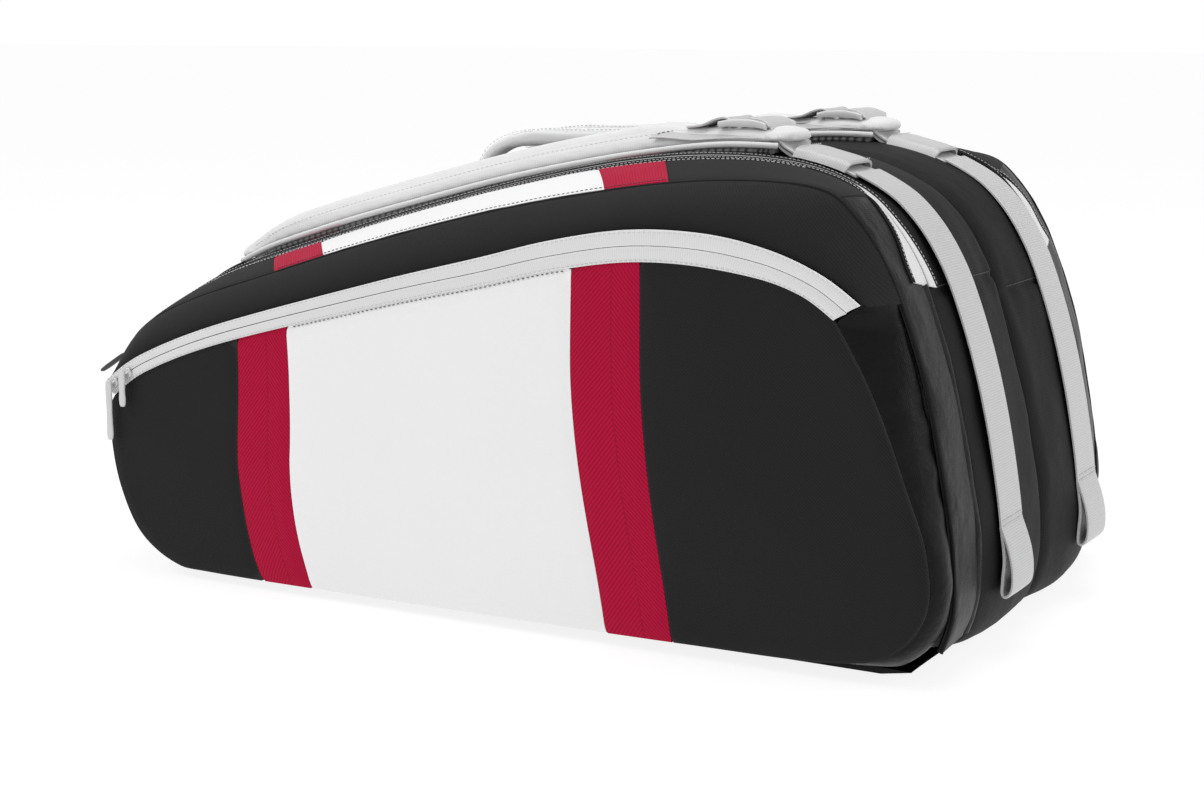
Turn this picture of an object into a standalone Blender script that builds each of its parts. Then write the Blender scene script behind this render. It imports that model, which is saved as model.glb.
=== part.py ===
"""Racket tournament bag: two padded centre halves, two zipped lids with flap pockets, straps and handles.

Frame: X along the bag towards its wide end, Z up, Y across.
The near side is -Y and the far side is its mirror image.
The floor is z = 0. All lengths are in metres.
"""
import math

import bmesh
import bpy
from mathutils import Matrix, Vector

for old in list(bpy.data.objects):
    bpy.data.objects.remove(old, do_unlink=True)

# ---------------------------------------------------------------- driving dimensions
SIDES = (("near", -1.0), ("far", 1.0))

VALLEY_GAP = 0.0003          # half the slit between the two centre halves
HALF_CROWN = 0.020           # distance from the mid plane where a half reaches full size
HALF_SHOULDER = 0.118        # where the half starts to round over towards its lid
HALF_EDGE = 0.1355           # mouth of the compartment, where the main zip is sewn
ZIP_INNER = (0.1360, 0.1405)
ZIP_OUTER = (0.1410, 0.1455)
LID_INNER = 0.1460           # inner edge of the lid band
LID_SEAM = 0.1990            # seam between lid band and face
PANEL_BACK = (0.1950, 0.1990)
FACE_BACK = 0.1996
FACE_FRONT = 0.2278
FLAP_BACK = 0.2284
FLAP_FRONT = 0.2330
LID_AXIS_Z = 0.0125
FLAP_AXIS_Z = 0.0078

SHELL = 0.0040               # padded fabric wall
SKIN = 0.0025                # single fabric wall
TAPE = 0.0016                # zip tape
POCKET_TAPE = 0.0042         # pocket zip tape with its chain
WEB_WIDTH = 0.045
WEB_THICK = 0.0022
STRAP_Y = 0.090              # centre line of each shoulder strap
PAD_WIDTH = 0.070
PAD_THICK = 0.0100
MESH_THICK = 0.0030
HANDLE_Y = 0.033
MIDDLE_X = 0.0612            # added to every x, so that the origin is under the middle of the whole bag

# side outlines (x, z), from the narrow end's foot over the top to the wide end's foot
CENTRE = ((-0.345, 0.000), (-0.394, 0.018), (-0.418, 0.060), (-0.424, 0.112), (-0.413, 0.170),
          (-0.384, 0.218), (-0.330, 0.245), (-0.240, 0.275), (-0.150, 0.300), (-0.050, 0.325),
          (0.050, 0.344), (0.130, 0.353), (0.190, 0.348), (0.237, 0.330), (0.264, 0.308),
          (0.285, 0.276), (0.301, 0.236), (0.315, 0.190), (0.327, 0.138), (0.335, 0.088),
          (0.335, 0.045), (0.322, 0.013), (0.292, 0.000))
LID_TOP_EDGE = ((-0.386, 0.032), (-0.408, 0.072), (-0.415, 0.115), (-0.408, 0.165), (-0.386, 0.208),
                (-0.330, 0.240), (-0.239, 0.270), (-0.140, 0.300), (-0.040, 0.326), (0.050, 0.344),
                (0.125, 0.351), (0.190, 0.348), (0.236, 0.334), (0.262, 0.312), (0.284, 0.280),
                (0.300, 0.240), (0.314, 0.192), (0.326, 0.140), (0.334, 0.090), (0.334, 0.050),
                (0.326, 0.022))
LID_FOLD = ((-0.380, 0.032), (-0.400, 0.072), (-0.405, 0.115), (-0.399, 0.160), (-0.381, 0.196),
            (-0.329, 0.224), (-0.239, 0.253), (-0.140, 0.283), (-0.040, 0.309), (0.050, 0.327),
            (0.125, 0.338), (0.190, 0.341), (0.236, 0.336), (0.260, 0.318), (0.281, 0.289),
            (0.298, 0.252), (0.314, 0.205), (0.326, 0.150), (0.335, 0.098), (0.337, 0.052),
            (0.329, 0.022))
POCKET_FOLD = ((-0.397, 0.141), (-0.399, 0.110), (-0.392, 0.066), (-0.372, 0.028), (-0.335, 0.0090),
               (-0.290, 0.0085), (-0.150, 0.0085), (0.020, 0.0085), (0.180, 0.0085),
               (0.270, 0.0085), (0.312, 0.018), (0.333, 0.052), (0.331, 0.098), (0.322, 0.150),
               (0.309, 0.205), (0.292, 0.255))
FLAP_EDGE = ((-0.387, 0.140), (-0.388, 0.109), (-0.380, 0.070), (-0.360, 0.033), (-0.325, 0.0115),
             (-0.285, 0.0080), (-0.150, 0.0080), (0.020, 0.0090), (0.150, 0.0105),
             (0.255, 0.0130), (0.303, 0.0245), (0.328, 0.056), (0.327, 0.098), (0.312, 0.140),
             (0.294, 0.187), (0.270, 0.236))
ARCH = ((-0.386, 0.153), (-0.348, 0.1765), (-0.268, 0.206), (-0.119, 0.246), (-0.027, 0.268),
        (0.038, 0.284), (0.100, 0.294), (0.158, 0.294), (0.202, 0.286), (0.236, 0.272),
        (0.262, 0.254))
ARCH_HALF = 0.0095           # width of one pocket zip tape

RED_BANDS = (((-0.252, 0.20), (-0.231, 0.00)), ((-0.204, 0.22), (-0.183, 0.00)),
             ((0.054, 0.29), (0.084, 0.00)), ((0.109, 0.30), (0.138, 0.00)))
STRIP_CUTS = (-0.239, -0.190, 0.063, 0.115)
ZIP_WIDE_END_Z = 0.268       # the main zip stops here at the wide end
ZIP_NARROW_END_Z = 0.050

# material slot: (colour, roughness, metallic)
FINISHES = {
    "charcoal_fabric": ((0.045, 0.045, 0.048, 1), 0.85, 0.0),
    "coated_fabric": ((0.025, 0.025, 0.027, 1), 0.55, 0.0),
    "white_panel": ((0.83, 0.83, 0.84, 1), 0.5, 0.0),
    "red_webbing": ((0.45, 0.004, 0.05, 1), 0.6, 0.0),
    "zip_tape": ((0.75, 0.75, 0.76, 1), 0.7, 0.0),
    "white_webbing": ((0.70, 0.70, 0.72, 1), 0.55, 0.0),
    "white_strap_fabric": ((0.80, 0.80, 0.81, 1), 0.65, 0.0),
    "grey_mesh": ((0.16, 0.16, 0.17, 1), 0.9, 0.0),
    "white_plastic": ((0.82, 0.82, 0.83, 1), 0.3, 0.0),
    "white_metal": ((0.80, 0.80, 0.80, 1), 0.35, 0.6),
    "black_cord": ((0.02, 0.02, 0.02, 1), 0.8, 0.0),
}
finish_cache = {}


def finish(slot):
    """The Principled material of a slot."""
    if slot not in finish_cache:
        mat = bpy.data.materials.new(slot)
        mat.use_nodes = True
        shader = mat.node_tree.nodes["Principled BSDF"]
        colour, rough, metal = FINISHES[slot]
        shader.inputs["Base Color"].default_value = colour
        shader.inputs["Roughness"].default_value = rough
        shader.inputs["Metallic"].default_value = metal
        mat.diffuse_color = colour
        finish_cache[slot] = mat
    return finish_cache[slot]


# ---------------------------------------------------------------- outline helpers
def spline(points, steps=2):
    """Smooth curve through the points (Catmull-Rom), steps pieces per span."""
    ends = [points[0]] + list(points) + [points[-1]]
    out = []
    for i in range(1, len(ends) - 2):
        a, b, c, d = (Vector(p) for p in ends[i - 1:i + 3])
        for k in range(steps):
            t = k / steps
            out.append(0.5 * ((2 * b) + (c - a) * t + (2 * a - 5 * b + 4 * c - d) * t * t
                              + (3 * b - a - 3 * c + d) * t ** 3))
    out.append(Vector(points[-1]))
    return out


def normals(path):
    """Unit normals to the left of the direction of travel: outwards for an outline drawn over the top."""
    out = []
    for i in range(len(path)):
        a = path[max(i - 1, 0)]
        b = path[min(i + 1, len(path) - 1)]
        d = (b - a).normalized()
        out.append(Vector((-d.y, d.x)))
    return out


def offset(path, distance):
    """The path moved outwards by distance."""
    return [p + n * distance for p, n in zip(path, normals(path))]


def part_of(path, start, end):
    """The stretch of the path between two fractions of its length."""
    lengths = [0.0]
    for a, b in zip(path, path[1:]):
        lengths.append(lengths[-1] + (b - a).length)
    total = lengths[-1]

    def at(f):
        s = f * total
        for i in range(len(path) - 1):
            if lengths[i + 1] >= s - 1e-12:
                t = (s - lengths[i]) / (lengths[i + 1] - lengths[i])
                return path[i].lerp(path[i + 1], t)
        return path[-1]

    inner = [p for p, l in zip(path, lengths) if start * total + 1e-4 < l < end * total - 1e-4]
    return [at(start)] + inner + [at(end)]


def fraction_at(path, test):
    """Fraction of the path's length at its first point that passes the test."""
    lengths = [0.0]
    for a, b in zip(path, path[1:]):
        lengths.append(lengths[-1] + (b - a).length)
    for i in range(1, len(path)):
        if test(path[i]):
            low, high = 0.0, 1.0
            for _ in range(30):
                mid = (low + high) / 2
                if test(path[i - 1].lerp(path[i], mid)):
                    high = mid
                else:
                    low = mid
            return (lengths[i - 1] + high * (lengths[i] - lengths[i - 1])) / lengths[-1]
    return 1.0


def place_of_x(path, x):
    """Where the path first passes x, as a point number with its decimals."""
    for i in range(1, len(path)):
        if path[i].x > x:
            return i - 1 + (x - path[i - 1].x) / (path[i].x - path[i - 1].x)
    return len(path) - 1.0


def between(path, low, high):
    """The path between two places given as point numbers with decimals."""
    out = [path[int(low)].lerp(path[int(low) + 1], low - int(low))]
    out += path[int(low) + 1:int(high) + 1]
    out.append(path[int(high)].lerp(path[int(high) + 1], high - int(high)))
    return out


# ---------------------------------------------------------------- solid helpers
def make(name, slot, verts, faces, pivot=(0, 0, 0), smooth=False):
    """A named object from world points and faces, its origin on pivot, its faces turned outwards."""
    mesh = bpy.data.meshes.new(name)
    origin = Vector(pivot)
    bm = bmesh.new()
    made = [bm.verts.new(Vector(v) - origin) for v in verts]
    for f in faces:
        bm.faces.new([made[i] for i in f])
    bmesh.ops.recalc_face_normals(bm, faces=bm.faces)
    bmesh.ops.triangulate(bm, faces=[f for f in bm.faces if len(f.verts) > 4])
    for f in bm.faces:
        f.smooth = smooth
    bm.to_mesh(mesh)
    bm.free()
    obj = bpy.data.objects.new(name, mesh)
    obj.location = origin
    bpy.context.scene.collection.objects.link(obj)
    mesh.materials.append(finish(slot))
    return obj


def sweep(name, slot, sections, pivot=(0, 0, 0), closed=False, smooth=False):
    """A closed solid through sections, each a ring of world points in the same order."""
    count = len(sections[0])
    verts = [p for s in sections for p in s]
    faces = []
    spans = len(sections) if closed else len(sections) - 1
    for i in range(spans):
        a = i * count
        b = ((i + 1) % len(sections)) * count
        for k in range(count):
            m = (k + 1) % count
            faces.append((a + k, a + m, b + m, b + k))
    if not closed:
        faces.append(tuple(range(count)))
        faces.append(tuple(range((len(sections) - 1) * count, len(sections) * count)))
    return make(name, slot, verts, faces, pivot, smooth)


def ruled(name, slot, side, path_a, y_a, path_b, y_b, thick, pivot=(0, 0, 0), closed=False):
    """A band between path_a at depth y_a and path_b at depth y_b, with its wall inwards of both paths."""
    in_a = offset(path_a, -thick)
    in_b = offset(path_b, -thick)
    sections = []
    for a, b, c, d in zip(path_a, path_b, in_a, in_b):
        sections.append(((a.x, side * y_a, a.y), (b.x, side * y_b, b.y),
                         (d.x, side * y_b, d.y), (c.x, side * y_a, c.y)))
    return sweep(name, slot, sections, pivot, closed)


def strip(name, slot, side, path, y_0, y_1, low, high, pivot=(0, 0, 0)):
    """A strip lying along a path, from depth y_0 to y_1, between two heights above the path."""
    a = offset(path, low)
    b = offset(path, high)
    sections = []
    for p, q in zip(a, b):
        sections.append(((p.x, side * y_0, p.y), (q.x, side * y_0, q.y),
                         (q.x, side * y_1, q.y), (p.x, side * y_1, p.y)))
    return sweep(name, slot, sections, pivot)


def plate(name, slot, side, outline, y_0, y_1, pivot=(0, 0, 0)):
    """A flat plate with the outline, from depth y_0 to y_1."""
    count = len(outline)
    verts = [(p[0], side * y_0, p[1]) for p in outline] + [(p[0], side * y_1, p[1]) for p in outline]
    faces = [tuple(range(count)), tuple(range(2 * count - 1, count - 1, -1))]
    for k in range(count):
        m = (k + 1) % count
        faces.append((k, m, count + m, count + k))
    return make(name, slot, verts, faces, pivot)


def box(name, slot, low, high, pivot=(0, 0, 0)):
    """A box between two corners."""
    x, y, z = zip(low, high)
    verts = [(x[i], y[j], z[k]) for i in (0, 1) for j in (0, 1) for k in (0, 1)]
    faces = [(0, 1, 3, 2), (4, 6, 7, 5), (0, 4, 5, 1), (2, 3, 7, 6), (0, 2, 6, 4), (1, 5, 7, 3)]
    return make(name, slot, verts, faces, pivot)


def cut(target, cutter, operation="DIFFERENCE"):
    """An exact Boolean of two objects, applied; the cutter is removed."""
    bpy.context.view_layer.update()
    mod = target.modifiers.new("cut", "BOOLEAN")
    mod.operation = operation
    mod.solver = "EXACT"
    mod.object = cutter
    graph = bpy.context.evaluated_depsgraph_get()
    result = bpy.data.meshes.new_from_object(target.evaluated_get(graph))
    target.modifiers.clear()
    bm = bmesh.new()
    bm.from_mesh(result)
    bmesh.ops.remove_doubles(bm, verts=bm.verts, dist=0.00003)
    bmesh.ops.dissolve_degenerate(bm, edges=bm.edges, dist=0.00003)
    bm.to_mesh(result)
    bm.free()
    target.data = result
    bpy.data.objects.remove(cutter, do_unlink=True)
    return target


def clipped(outline, start, end, keep_right):
    """The outline's part on one side of the line from start to end, to the right in x if keep_right."""
    s = Vector(start)
    d = Vector(end) - s
    sign = 1.0 if keep_right else -1.0

    def side_of(p):
        return sign * -((p[0] - s.x) * d.y - (p[1] - s.y) * d.x)

    out = []
    for i in range(len(outline)):
        a = Vector(outline[i])
        b = Vector(outline[(i + 1) % len(outline)])
        da = side_of(a)
        db = side_of(b)
        if da >= 0:
            out.append(a)
        if (da > 0 > db) or (da < 0 < db):
            out.append(a.lerp(b, da / (da - db)))
    return out


# ---------------------------------------------------------------- centre halves
def centre_half(word, side):
    """One padded half: a gusset round the racket compartment, its inner wall, and the base under the lid."""
    full = spline(CENTRE)
    shoulder = offset(full, -0.003)
    valley = offset(full, -0.012)
    stations = ((valley, VALLEY_GAP), (full, HALF_CROWN), (full, HALF_SHOULDER), (shoulder, HALF_EDGE))
    inner = offset(full, -SHELL - 0.003)
    count = len(full)
    verts = []
    for ring, y in stations:
        verts += [(p.x, side * y, max(p.y, 0.0)) for p in ring]
    floor_in = SHELL
    verts += [(p.x, side * HALF_EDGE, max(p.y, floor_in)) for p in inner]
    verts += [(p.x, side * (HALF_CROWN + 0.002), max(p.y, floor_in)) for p in inner]
    rings = len(stations) + 2
    faces = []
    for r in range(rings - 1):
        for k in range(count):
            m = (k + 1) % count
            faces.append((r * count + k, r * count + m, (r + 1) * count + m, (r + 1) * count + k))
    faces.append(tuple(range(count)))
    faces.append(tuple(range((rings - 1) * count, rings * count)))
    half = make(word + "_centre_half", "coated_fabric", verts, faces)
    base = [(-0.338, 0.0), (0.296, 0.0), (0.318, 0.0075), (0.300, 0.0058), (-0.338, 0.0058), (-0.372, 0.0120)]
    sill = plate("sill", "coated_fabric", side, base, HALF_EDGE - 0.006, LID_SEAM - 0.0005)
    return cut(half, sill, "UNION")


def zip_run(path, narrow_z, wide_z):
    """The stretch of a lid outline that the main zip follows."""
    start = fraction_at(path, lambda p: p.y > narrow_z)
    end = fraction_at(path, lambda p: p.x > 0.1 and p.y < wide_z)
    return part_of(path, start, end)


def root_parts(word, side):
    """What is sewn to the centre: inner zip tape, gusset below the zip, strap anchor with its keeper."""
    edge = offset(spline(CENTRE), -0.003)
    run = zip_run(edge, ZIP_NARROW_END_Z, ZIP_WIDE_END_Z)
    strip(word + "_main_zip_inner", "zip_tape", side, run, ZIP_INNER[0], ZIP_INNER[1], -0.004, -0.004 + TAPE)
    low = fraction_at(edge, lambda p: p.x > 0.1 and p.y < ZIP_WIDE_END_Z - 0.003)
    high = fraction_at(edge, lambda p: p.x > 0.1 and p.y < 0.022)
    wall = part_of(edge, low, high)
    strip(word + "_wide_gusset", "coated_fabric", side, wall, ZIP_INNER[0], ZIP_OUTER[1], -0.004, -0.0005)

    full = spline(CENTRE, 4)
    start = fraction_at(full, lambda p: p.x > 0.166)
    end = fraction_at(full, lambda p: p.x > 0.226)
    seat = part_of(full, start, end)
    y_0 = STRAP_Y - WEB_WIDTH / 2
    y_1 = STRAP_Y + WEB_WIDTH / 2
    anchor = strip(word + "_strap_anchor", "white_webbing", side, seat, y_0, y_1, 0.0004, 0.0004 + WEB_THICK)
    sleeve_low = fraction_at(full, lambda p: p.x > 0.174)
    sleeve_high = fraction_at(full, lambda p: p.x > 0.212)
    sleeve_run = part_of(full, sleeve_low, sleeve_high)
    outer = 0.0105
    inner = 0.0082
    a = offset(sleeve_run, 0.0006)
    b = offset(sleeve_run, outer)
    c = offset(sleeve_run, inner)
    wide = 0.0032
    sections = []
    for p, q, r in zip(a, b, c):
        sections.append(((p.x, side * (y_0 - wide), p.y), (q.x, side * (y_0 - wide), q.y),
                         (q.x, side * (y_1 + wide), q.y), (p.x, side * (y_1 + wide), p.y),
                         (p.x, side * (y_1 + 0.0012), p.y), (r.x, side * (y_1 + 0.0012), r.y),
                         (r.x, side * (y_0 - 0.0012), r.y), (p.x, side * (y_0 - 0.0012), p.y)))
    sleeve = sweep("sleeve", "white_webbing", sections)
    foot = strip("foot", "white_webbing", side, sleeve_run, y_0 - wide, y_1 + wide, 0.0004, 0.0014)
    cut(anchor, foot, "UNION")
    cut(anchor, sleeve, "UNION")


# ---------------------------------------------------------------- lids
def lid_parts(word, side):
    """The lid: band with its coloured top strip, inner panel, upper face, pocket gusset and zip tapes."""
    axis = (0.0, side * LID_SEAM, LID_AXIS_Z)
    inner = spline(LID_TOP_EDGE)
    fold = spline(LID_FOLD)
    ruled(word + "_lid_band", "charcoal_fabric", side, inner, LID_INNER, fold, LID_SEAM, SHELL, axis)
    run = zip_run(inner, ZIP_NARROW_END_Z, ZIP_WIDE_END_Z)
    strip(word + "_main_zip_outer", "zip_tape", side, run, ZIP_OUTER[0], ZIP_OUTER[1],
          -0.004, -0.004 + TAPE, axis)

    places = [place_of_x(fold, x) for x in STRIP_CUTS]
    names = ("_lid_strip_red_narrow", "_lid_strip_white", "_lid_strip_red_wide")
    slots = ("red_webbing", "white_panel", "red_webbing")
    gap = 0.015
    for i in range(3):
        low, high = places[i] + gap, places[i + 1] - gap
        layers = []
        for lift in (0.0009, 0.0019):
            layers.append((between(offset(inner, lift), low, high), between(offset(fold, lift), low, high)))
        y_a = LID_INNER + 0.0010
        y_b = LID_SEAM - 0.0010
        sections = []
        for p, q, r, s in zip(layers[0][0], layers[0][1], layers[1][0], layers[1][1]):
            sections.append(((p.x, side * y_a, p.y), (q.x, side * y_b, q.y),
                             (s.x, side * y_b, s.y), (r.x, side * y_a, r.y)))
        sweep(word + names[i], slots[i], sections, axis)

    back = offset(fold, -SHELL - 0.0006)
    back = [Vector((p.x, max(p.y, LID_AXIS_Z))) for p in back]
    plate(word + "_lid_panel", "charcoal_fabric", side, back, PANEL_BACK[0], PANEL_BACK[1], axis)

    # upper face: from the fold down to the pocket zip
    arch = spline(ARCH)
    upper = offset(arch, ARCH_HALF + 0.0004)
    start = fraction_at(fold, lambda p: p.y > 0.158)
    end = fraction_at(fold, lambda p: p.x > 0.2 and p.y < 0.262)
    count = 30
    rim = part_even(part_of(fold, start, end), count)
    line = part_even(upper, count)
    sections = []
    for p, n, q in zip(rim, normals(rim), line):
        inside = p - n * SKIN
        sections.append(((p.x, side * FACE_BACK, p.y), (q.x, side * FACE_FRONT, q.y),
                         (q.x, side * (FACE_FRONT - SKIN), q.y), (inside.x, side * FACE_BACK, inside.y)))
    sweep(word + "_upper_face", "charcoal_fabric", sections, axis)

    # pocket gusset: from the lid's fold round the bottom to the flap's edge
    outer = part_even(spline(POCKET_FOLD), 40)
    edge = part_even(spline(FLAP_EDGE), 40)
    in_a = offset(outer, SKIN)
    in_b = offset(edge, SKIN)
    sections = [((a.x, side * (FACE_BACK + 0.0002), a.y), (b.x, side * FACE_FRONT, b.y),
                 (d.x, side * FACE_FRONT, d.y), (c.x, side * (FACE_BACK + 0.0002), c.y))
                for a, b, c, d in zip(outer, edge, in_a, in_b)]
    sweep(word + "_pocket_gusset", "charcoal_fabric", sections, axis)

    band_up = offset(arch, ARCH_HALF)
    band_mid = offset(arch, 0.0003)
    outline = band_up + band_mid[::-1]
    plate(word + "_pocket_zip_upper", "zip_tape", side, outline, FLAP_BACK, FLAP_BACK + POCKET_TAPE, axis)


def part_even(path, count):
    """The path again with count evenly spaced points."""
    lengths = [0.0]
    for a, b in zip(path, path[1:]):
        lengths.append(lengths[-1] + (b - a).length)
    out = []
    i = 0
    for k in range(count):
        s = lengths[-1] * k / (count - 1)
        while i < len(path) - 2 and lengths[i + 1] < s:
            i += 1
        t = (s - lengths[i]) / (lengths[i + 1] - lengths[i])
        out.append(path[i].lerp(path[i + 1], min(max(t, 0.0), 1.0)))
    return out


# ---------------------------------------------------------------- pocket flap
def flap_parts(word, side):
    """The pocket's front: dark, red, white, red and dark pieces side by side, and the lower zip tape."""
    axis = (0.0, side * FLAP_BACK, FLAP_AXIS_Z)
    arch = spline(ARCH)
    top = offset(arch, -ARCH_HALF - 0.0003)
    edge = spline(FLAP_EDGE)
    outline = [p for p in edge] + [p for p in top[::-1]]
    names = ("_flap_narrow", "_flap_red_narrow", "_flap_white", "_flap_red_wide", "_flap_wide")
    slots = ("charcoal_fabric", "red_webbing", "white_panel", "red_webbing", "charcoal_fabric")
    gap = 0.00015
    for i in range(5):
        piece = outline
        if i > 0:
            s, e = RED_BANDS[i - 1]
            piece = clipped(piece, (s[0] + gap, s[1]), (e[0] + gap, e[1]), True)
        if i < 4:
            s, e = RED_BANDS[i]
            piece = clipped(piece, (s[0] - gap, s[1]), (e[0] - gap, e[1]), False)
        plate(word + names[i], slots[i], side, piece, FLAP_BACK, FLAP_FRONT, axis)
    band_mid = offset(arch, -0.0003)
    band_low = offset(arch, -ARCH_HALF)
    plate(word + "_pocket_zip_lower", "zip_tape", side, band_mid + band_low[::-1], FLAP_BACK,
          FLAP_BACK + POCKET_TAPE, axis)


# ---------------------------------------------------------------- sliders and pulls
def slider(name, pull_name, pull_slot, side, spot, lean, y_0, pull_long):
    """A zip slider on its chain at spot (x, z), leaning along the chain, with a pull hanging from it."""
    long, wide, thick = 0.0120, 0.0084, 0.0048
    c = math.cos(lean)
    s = math.sin(lean)
    shape = ((-0.5, -0.36), (-0.25, -0.5), (0.25, -0.5), (0.5, -0.30),
             (0.5, 0.30), (0.25, 0.5), (-0.25, 0.5), (-0.5, 0.36))
    outline = [(spot[0] + c * a * long - s * b * wide, spot[1] + s * a * long + c * b * wide)
               for a, b in shape]
    pivot = (spot[0], side * y_0, spot[1])
    plate(name, "white_metal", side, outline, y_0, y_0 + thick, pivot)
    y_1 = y_0 + thick + 0.0004
    w = 0.0034
    pull = ((-w * 0.6, 0.003), (w * 0.6, 0.003), (w, -0.004), (w, -pull_long + 0.003), (w * 0.6, -pull_long),
            (-w * 0.6, -pull_long), (-w, -pull_long + 0.003), (-w, -0.004))
    outline = [(spot[0] + a, spot[1] + b) for a, b in pull]
    plate(pull_name, pull_slot, side, outline, y_1, y_1 + 0.0022, (spot[0], side * y_1, spot[1]))


def slider_parts(word, side):
    """Two sliders on the pocket zip and one on the main zip, all parked at the narrow end."""
    lean = math.atan2(0.0235, 0.0380)
    y_0 = FLAP_FRONT + 0.0004
    slider(word + "_pocket_slider_a", word + "_pocket_pull_a", "white_plastic", side, (-0.3810, 0.1565),
           lean, y_0, 0.046)
    slider(word + "_pocket_slider_b", word + "_pocket_pull_b", "white_plastic", side, (-0.3665, 0.1655),
           lean, y_0, 0.026)


def main_slider(word, side):
    """The main zip's slider at the narrow end, with its stiff pull standing out from the end."""
    path = spline(LID_TOP_EDGE, 4)
    f = fraction_at(path, lambda p: p.y > 0.186)
    here = part_of(path, f, min(f + 0.004, 1.0))
    spot = here[0]
    way = (here[-1] - here[0]).normalized()
    out = Vector((-way.y, way.x))
    y_0 = ZIP_OUTER[0] + 0.0002
    y_1 = y_0 + 0.0084
    base = [spot + out * 0.0012 - way * 0.006, spot + out * 0.0012 + way * 0.006,
            spot + out * 0.0052 + way * 0.0045, spot + out * 0.0052 - way * 0.0045]
    pivot = (spot.x, side * y_0, spot.y)
    plate(word + "_main_slider", "white_metal", side, base, y_0, y_1, pivot)
    hook = spot + out * 0.0085
    along = Vector((-0.85, -0.53)).normalized()
    across = Vector((-along.y, along.x))
    pull = [hook + along * a + across * b for a, b in ((-0.002, 0.0014), (0.048, 0.0014), (0.078, 0.0020),
                                                       (0.078, -0.0020), (0.048, -0.0014), (-0.002, -0.0014))]
    mid = (y_0 + y_1) / 2
    plate(word + "_main_pull", "black_cord", side, pull, mid - 0.0040, mid + 0.0040,
          (hook.x, side * mid, hook.y))


# ---------------------------------------------------------------- shoulder straps
def strap_path():
    """Middle line under the strap pad, resting just above the centre half."""
    return offset(spline(CENTRE, 3), 0.0012)


def strap_parts(word, side):
    """The padded shoulder strap with its mesh underside, the ladder-lock buckle and the webbing tail."""
    path = strap_path()
    start = fraction_at(path, lambda p: p.x > -0.350)
    end = fraction_at(path, lambda p: p.x > 0.158)
    run = part_even(part_of(path, start, end), 22)
    hinge = (run[0].x, side * STRAP_Y, run[0].y + 0.004)
    half = PAD_WIDTH / 2
    sections_pad = []
    sections_mesh = []
    ups = normals(run)
    for i, (p, n) in enumerate(zip(run, ups)):
        f = i / (len(run) - 1)
        taper = 0.62 + 0.38 * min(1.0, f / 0.12)
        if f > 0.93:
            taper = 1.0 - 0.25 * ((f - 0.93) / 0.07) ** 2
        h = half * taper

        def at(y, up, p=p, n=n):
            q = p + n * up
            return (q.x, side * (STRAP_Y + y), q.y)

        low = MESH_THICK + 0.0004
        top = low + PAD_THICK
        w = h * 0.98
        sections_mesh.append((at(-w, 0), at(-w, MESH_THICK), at(w, MESH_THICK), at(w, 0)))
        sections_pad.append((at(-h * 0.94, low), at(-h, low + 0.004), at(-h * 0.86, top), at(h * 0.86, top),
                             at(h, low + 0.004), at(h * 0.94, low)))
    sweep(word + "_strap_mesh", "grey_mesh", sections_mesh, hinge)
    sweep(word + "_strap_pad", "white_strap_fabric", sections_pad, hinge)

    # ladder-lock buckle: a frame with two rounded windows, lying on the end of the pad
    last = run[-1]
    z_0 = last.y + MESH_THICK + PAD_THICK + 0.0052
    x_0 = 0.112
    x_1 = 0.152
    wide = WEB_WIDTH / 2 + 0.0055
    low = (x_0, side * STRAP_Y - wide, z_0)
    high = (x_1, side * STRAP_Y + wide, z_0 + 0.0062)
    buckle = box(word + "_buckle", "white_plastic", low, high, (x_0 + 0.004, side * STRAP_Y, z_0 + 0.003))
    for lo, hi in ((x_0 + 0.0065, x_0 + 0.0175), (x_0 + 0.0235, x_1 - 0.0055)):
        window = box("window", "white_plastic", (lo, side * STRAP_Y - WEB_WIDTH / 2, z_0 - 0.01),
                     (hi, side * STRAP_Y + WEB_WIDTH / 2, z_0 + 0.02))
        cut(buckle, window)


def tail_parts(word, side):
    """The free end of the webbing, lying down the wide end and sewn back into a finger loop."""
    full = spline(CENTRE, 4)
    start = fraction_at(full, lambda p: p.x > 0.2195)
    end = fraction_at(full, lambda p: p.x > 0.2 and p.y < 0.050)
    run = part_even(part_of(full, start, end), 24)
    lift = 0.0032
    thick = WEB_THICK
    hinge_at = offset(run, lift + thick / 2)[0]
    upper = offset(run, lift + thick)
    lower = offset(run, lift)
    stitch = 17
    # side outline: down the outside, round the end, back up inside to the stitch line
    out_x = upper[-1].x + 0.0105
    loop_out = [Vector((upper[stitch].x + 0.0045, upper[stitch].y - 0.004)),
                Vector((out_x, upper[-1].y + 0.02)),
                Vector((out_x + 0.0008, upper[-1].y + 0.002)), Vector((out_x - 0.004, upper[-1].y - 0.006)),
                Vector((lower[-1].x + 0.0005, upper[-1].y - 0.0035))]
    inner_back = [Vector((lower[-1].x - 0.0002, lower[-1].y))]
    inner_back += [lower[i] for i in range(len(lower) - 2, -1, -1)]
    outline = [p for p in upper[:stitch + 1]] + loop_out + inner_back
    tail = plate(word + "_strap_tail", "white_webbing", side, outline, STRAP_Y - WEB_WIDTH / 2,
                 STRAP_Y + WEB_WIDTH / 2, (hinge_at.x, side * STRAP_Y, hinge_at.y))
    hole = [Vector((lower[stitch + 2].x + thick + 0.0006, lower[stitch + 2].y)),
            Vector((out_x - thick - 0.0006, upper[-1].y + 0.020)),
            Vector((out_x - thick, upper[-1].y + 0.003)),
            Vector((out_x - thick - 0.002, upper[-1].y - 0.0022)),
            Vector((lower[-1].x + thick, upper[-1].y - 0.0008)),
            Vector((lower[-2].x + thick, lower[-2].y))]
    eye = plate("eye", "white_webbing", side, hole, STRAP_Y - WEB_WIDTH, STRAP_Y + WEB_WIDTH)
    cut(tail, eye)


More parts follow.
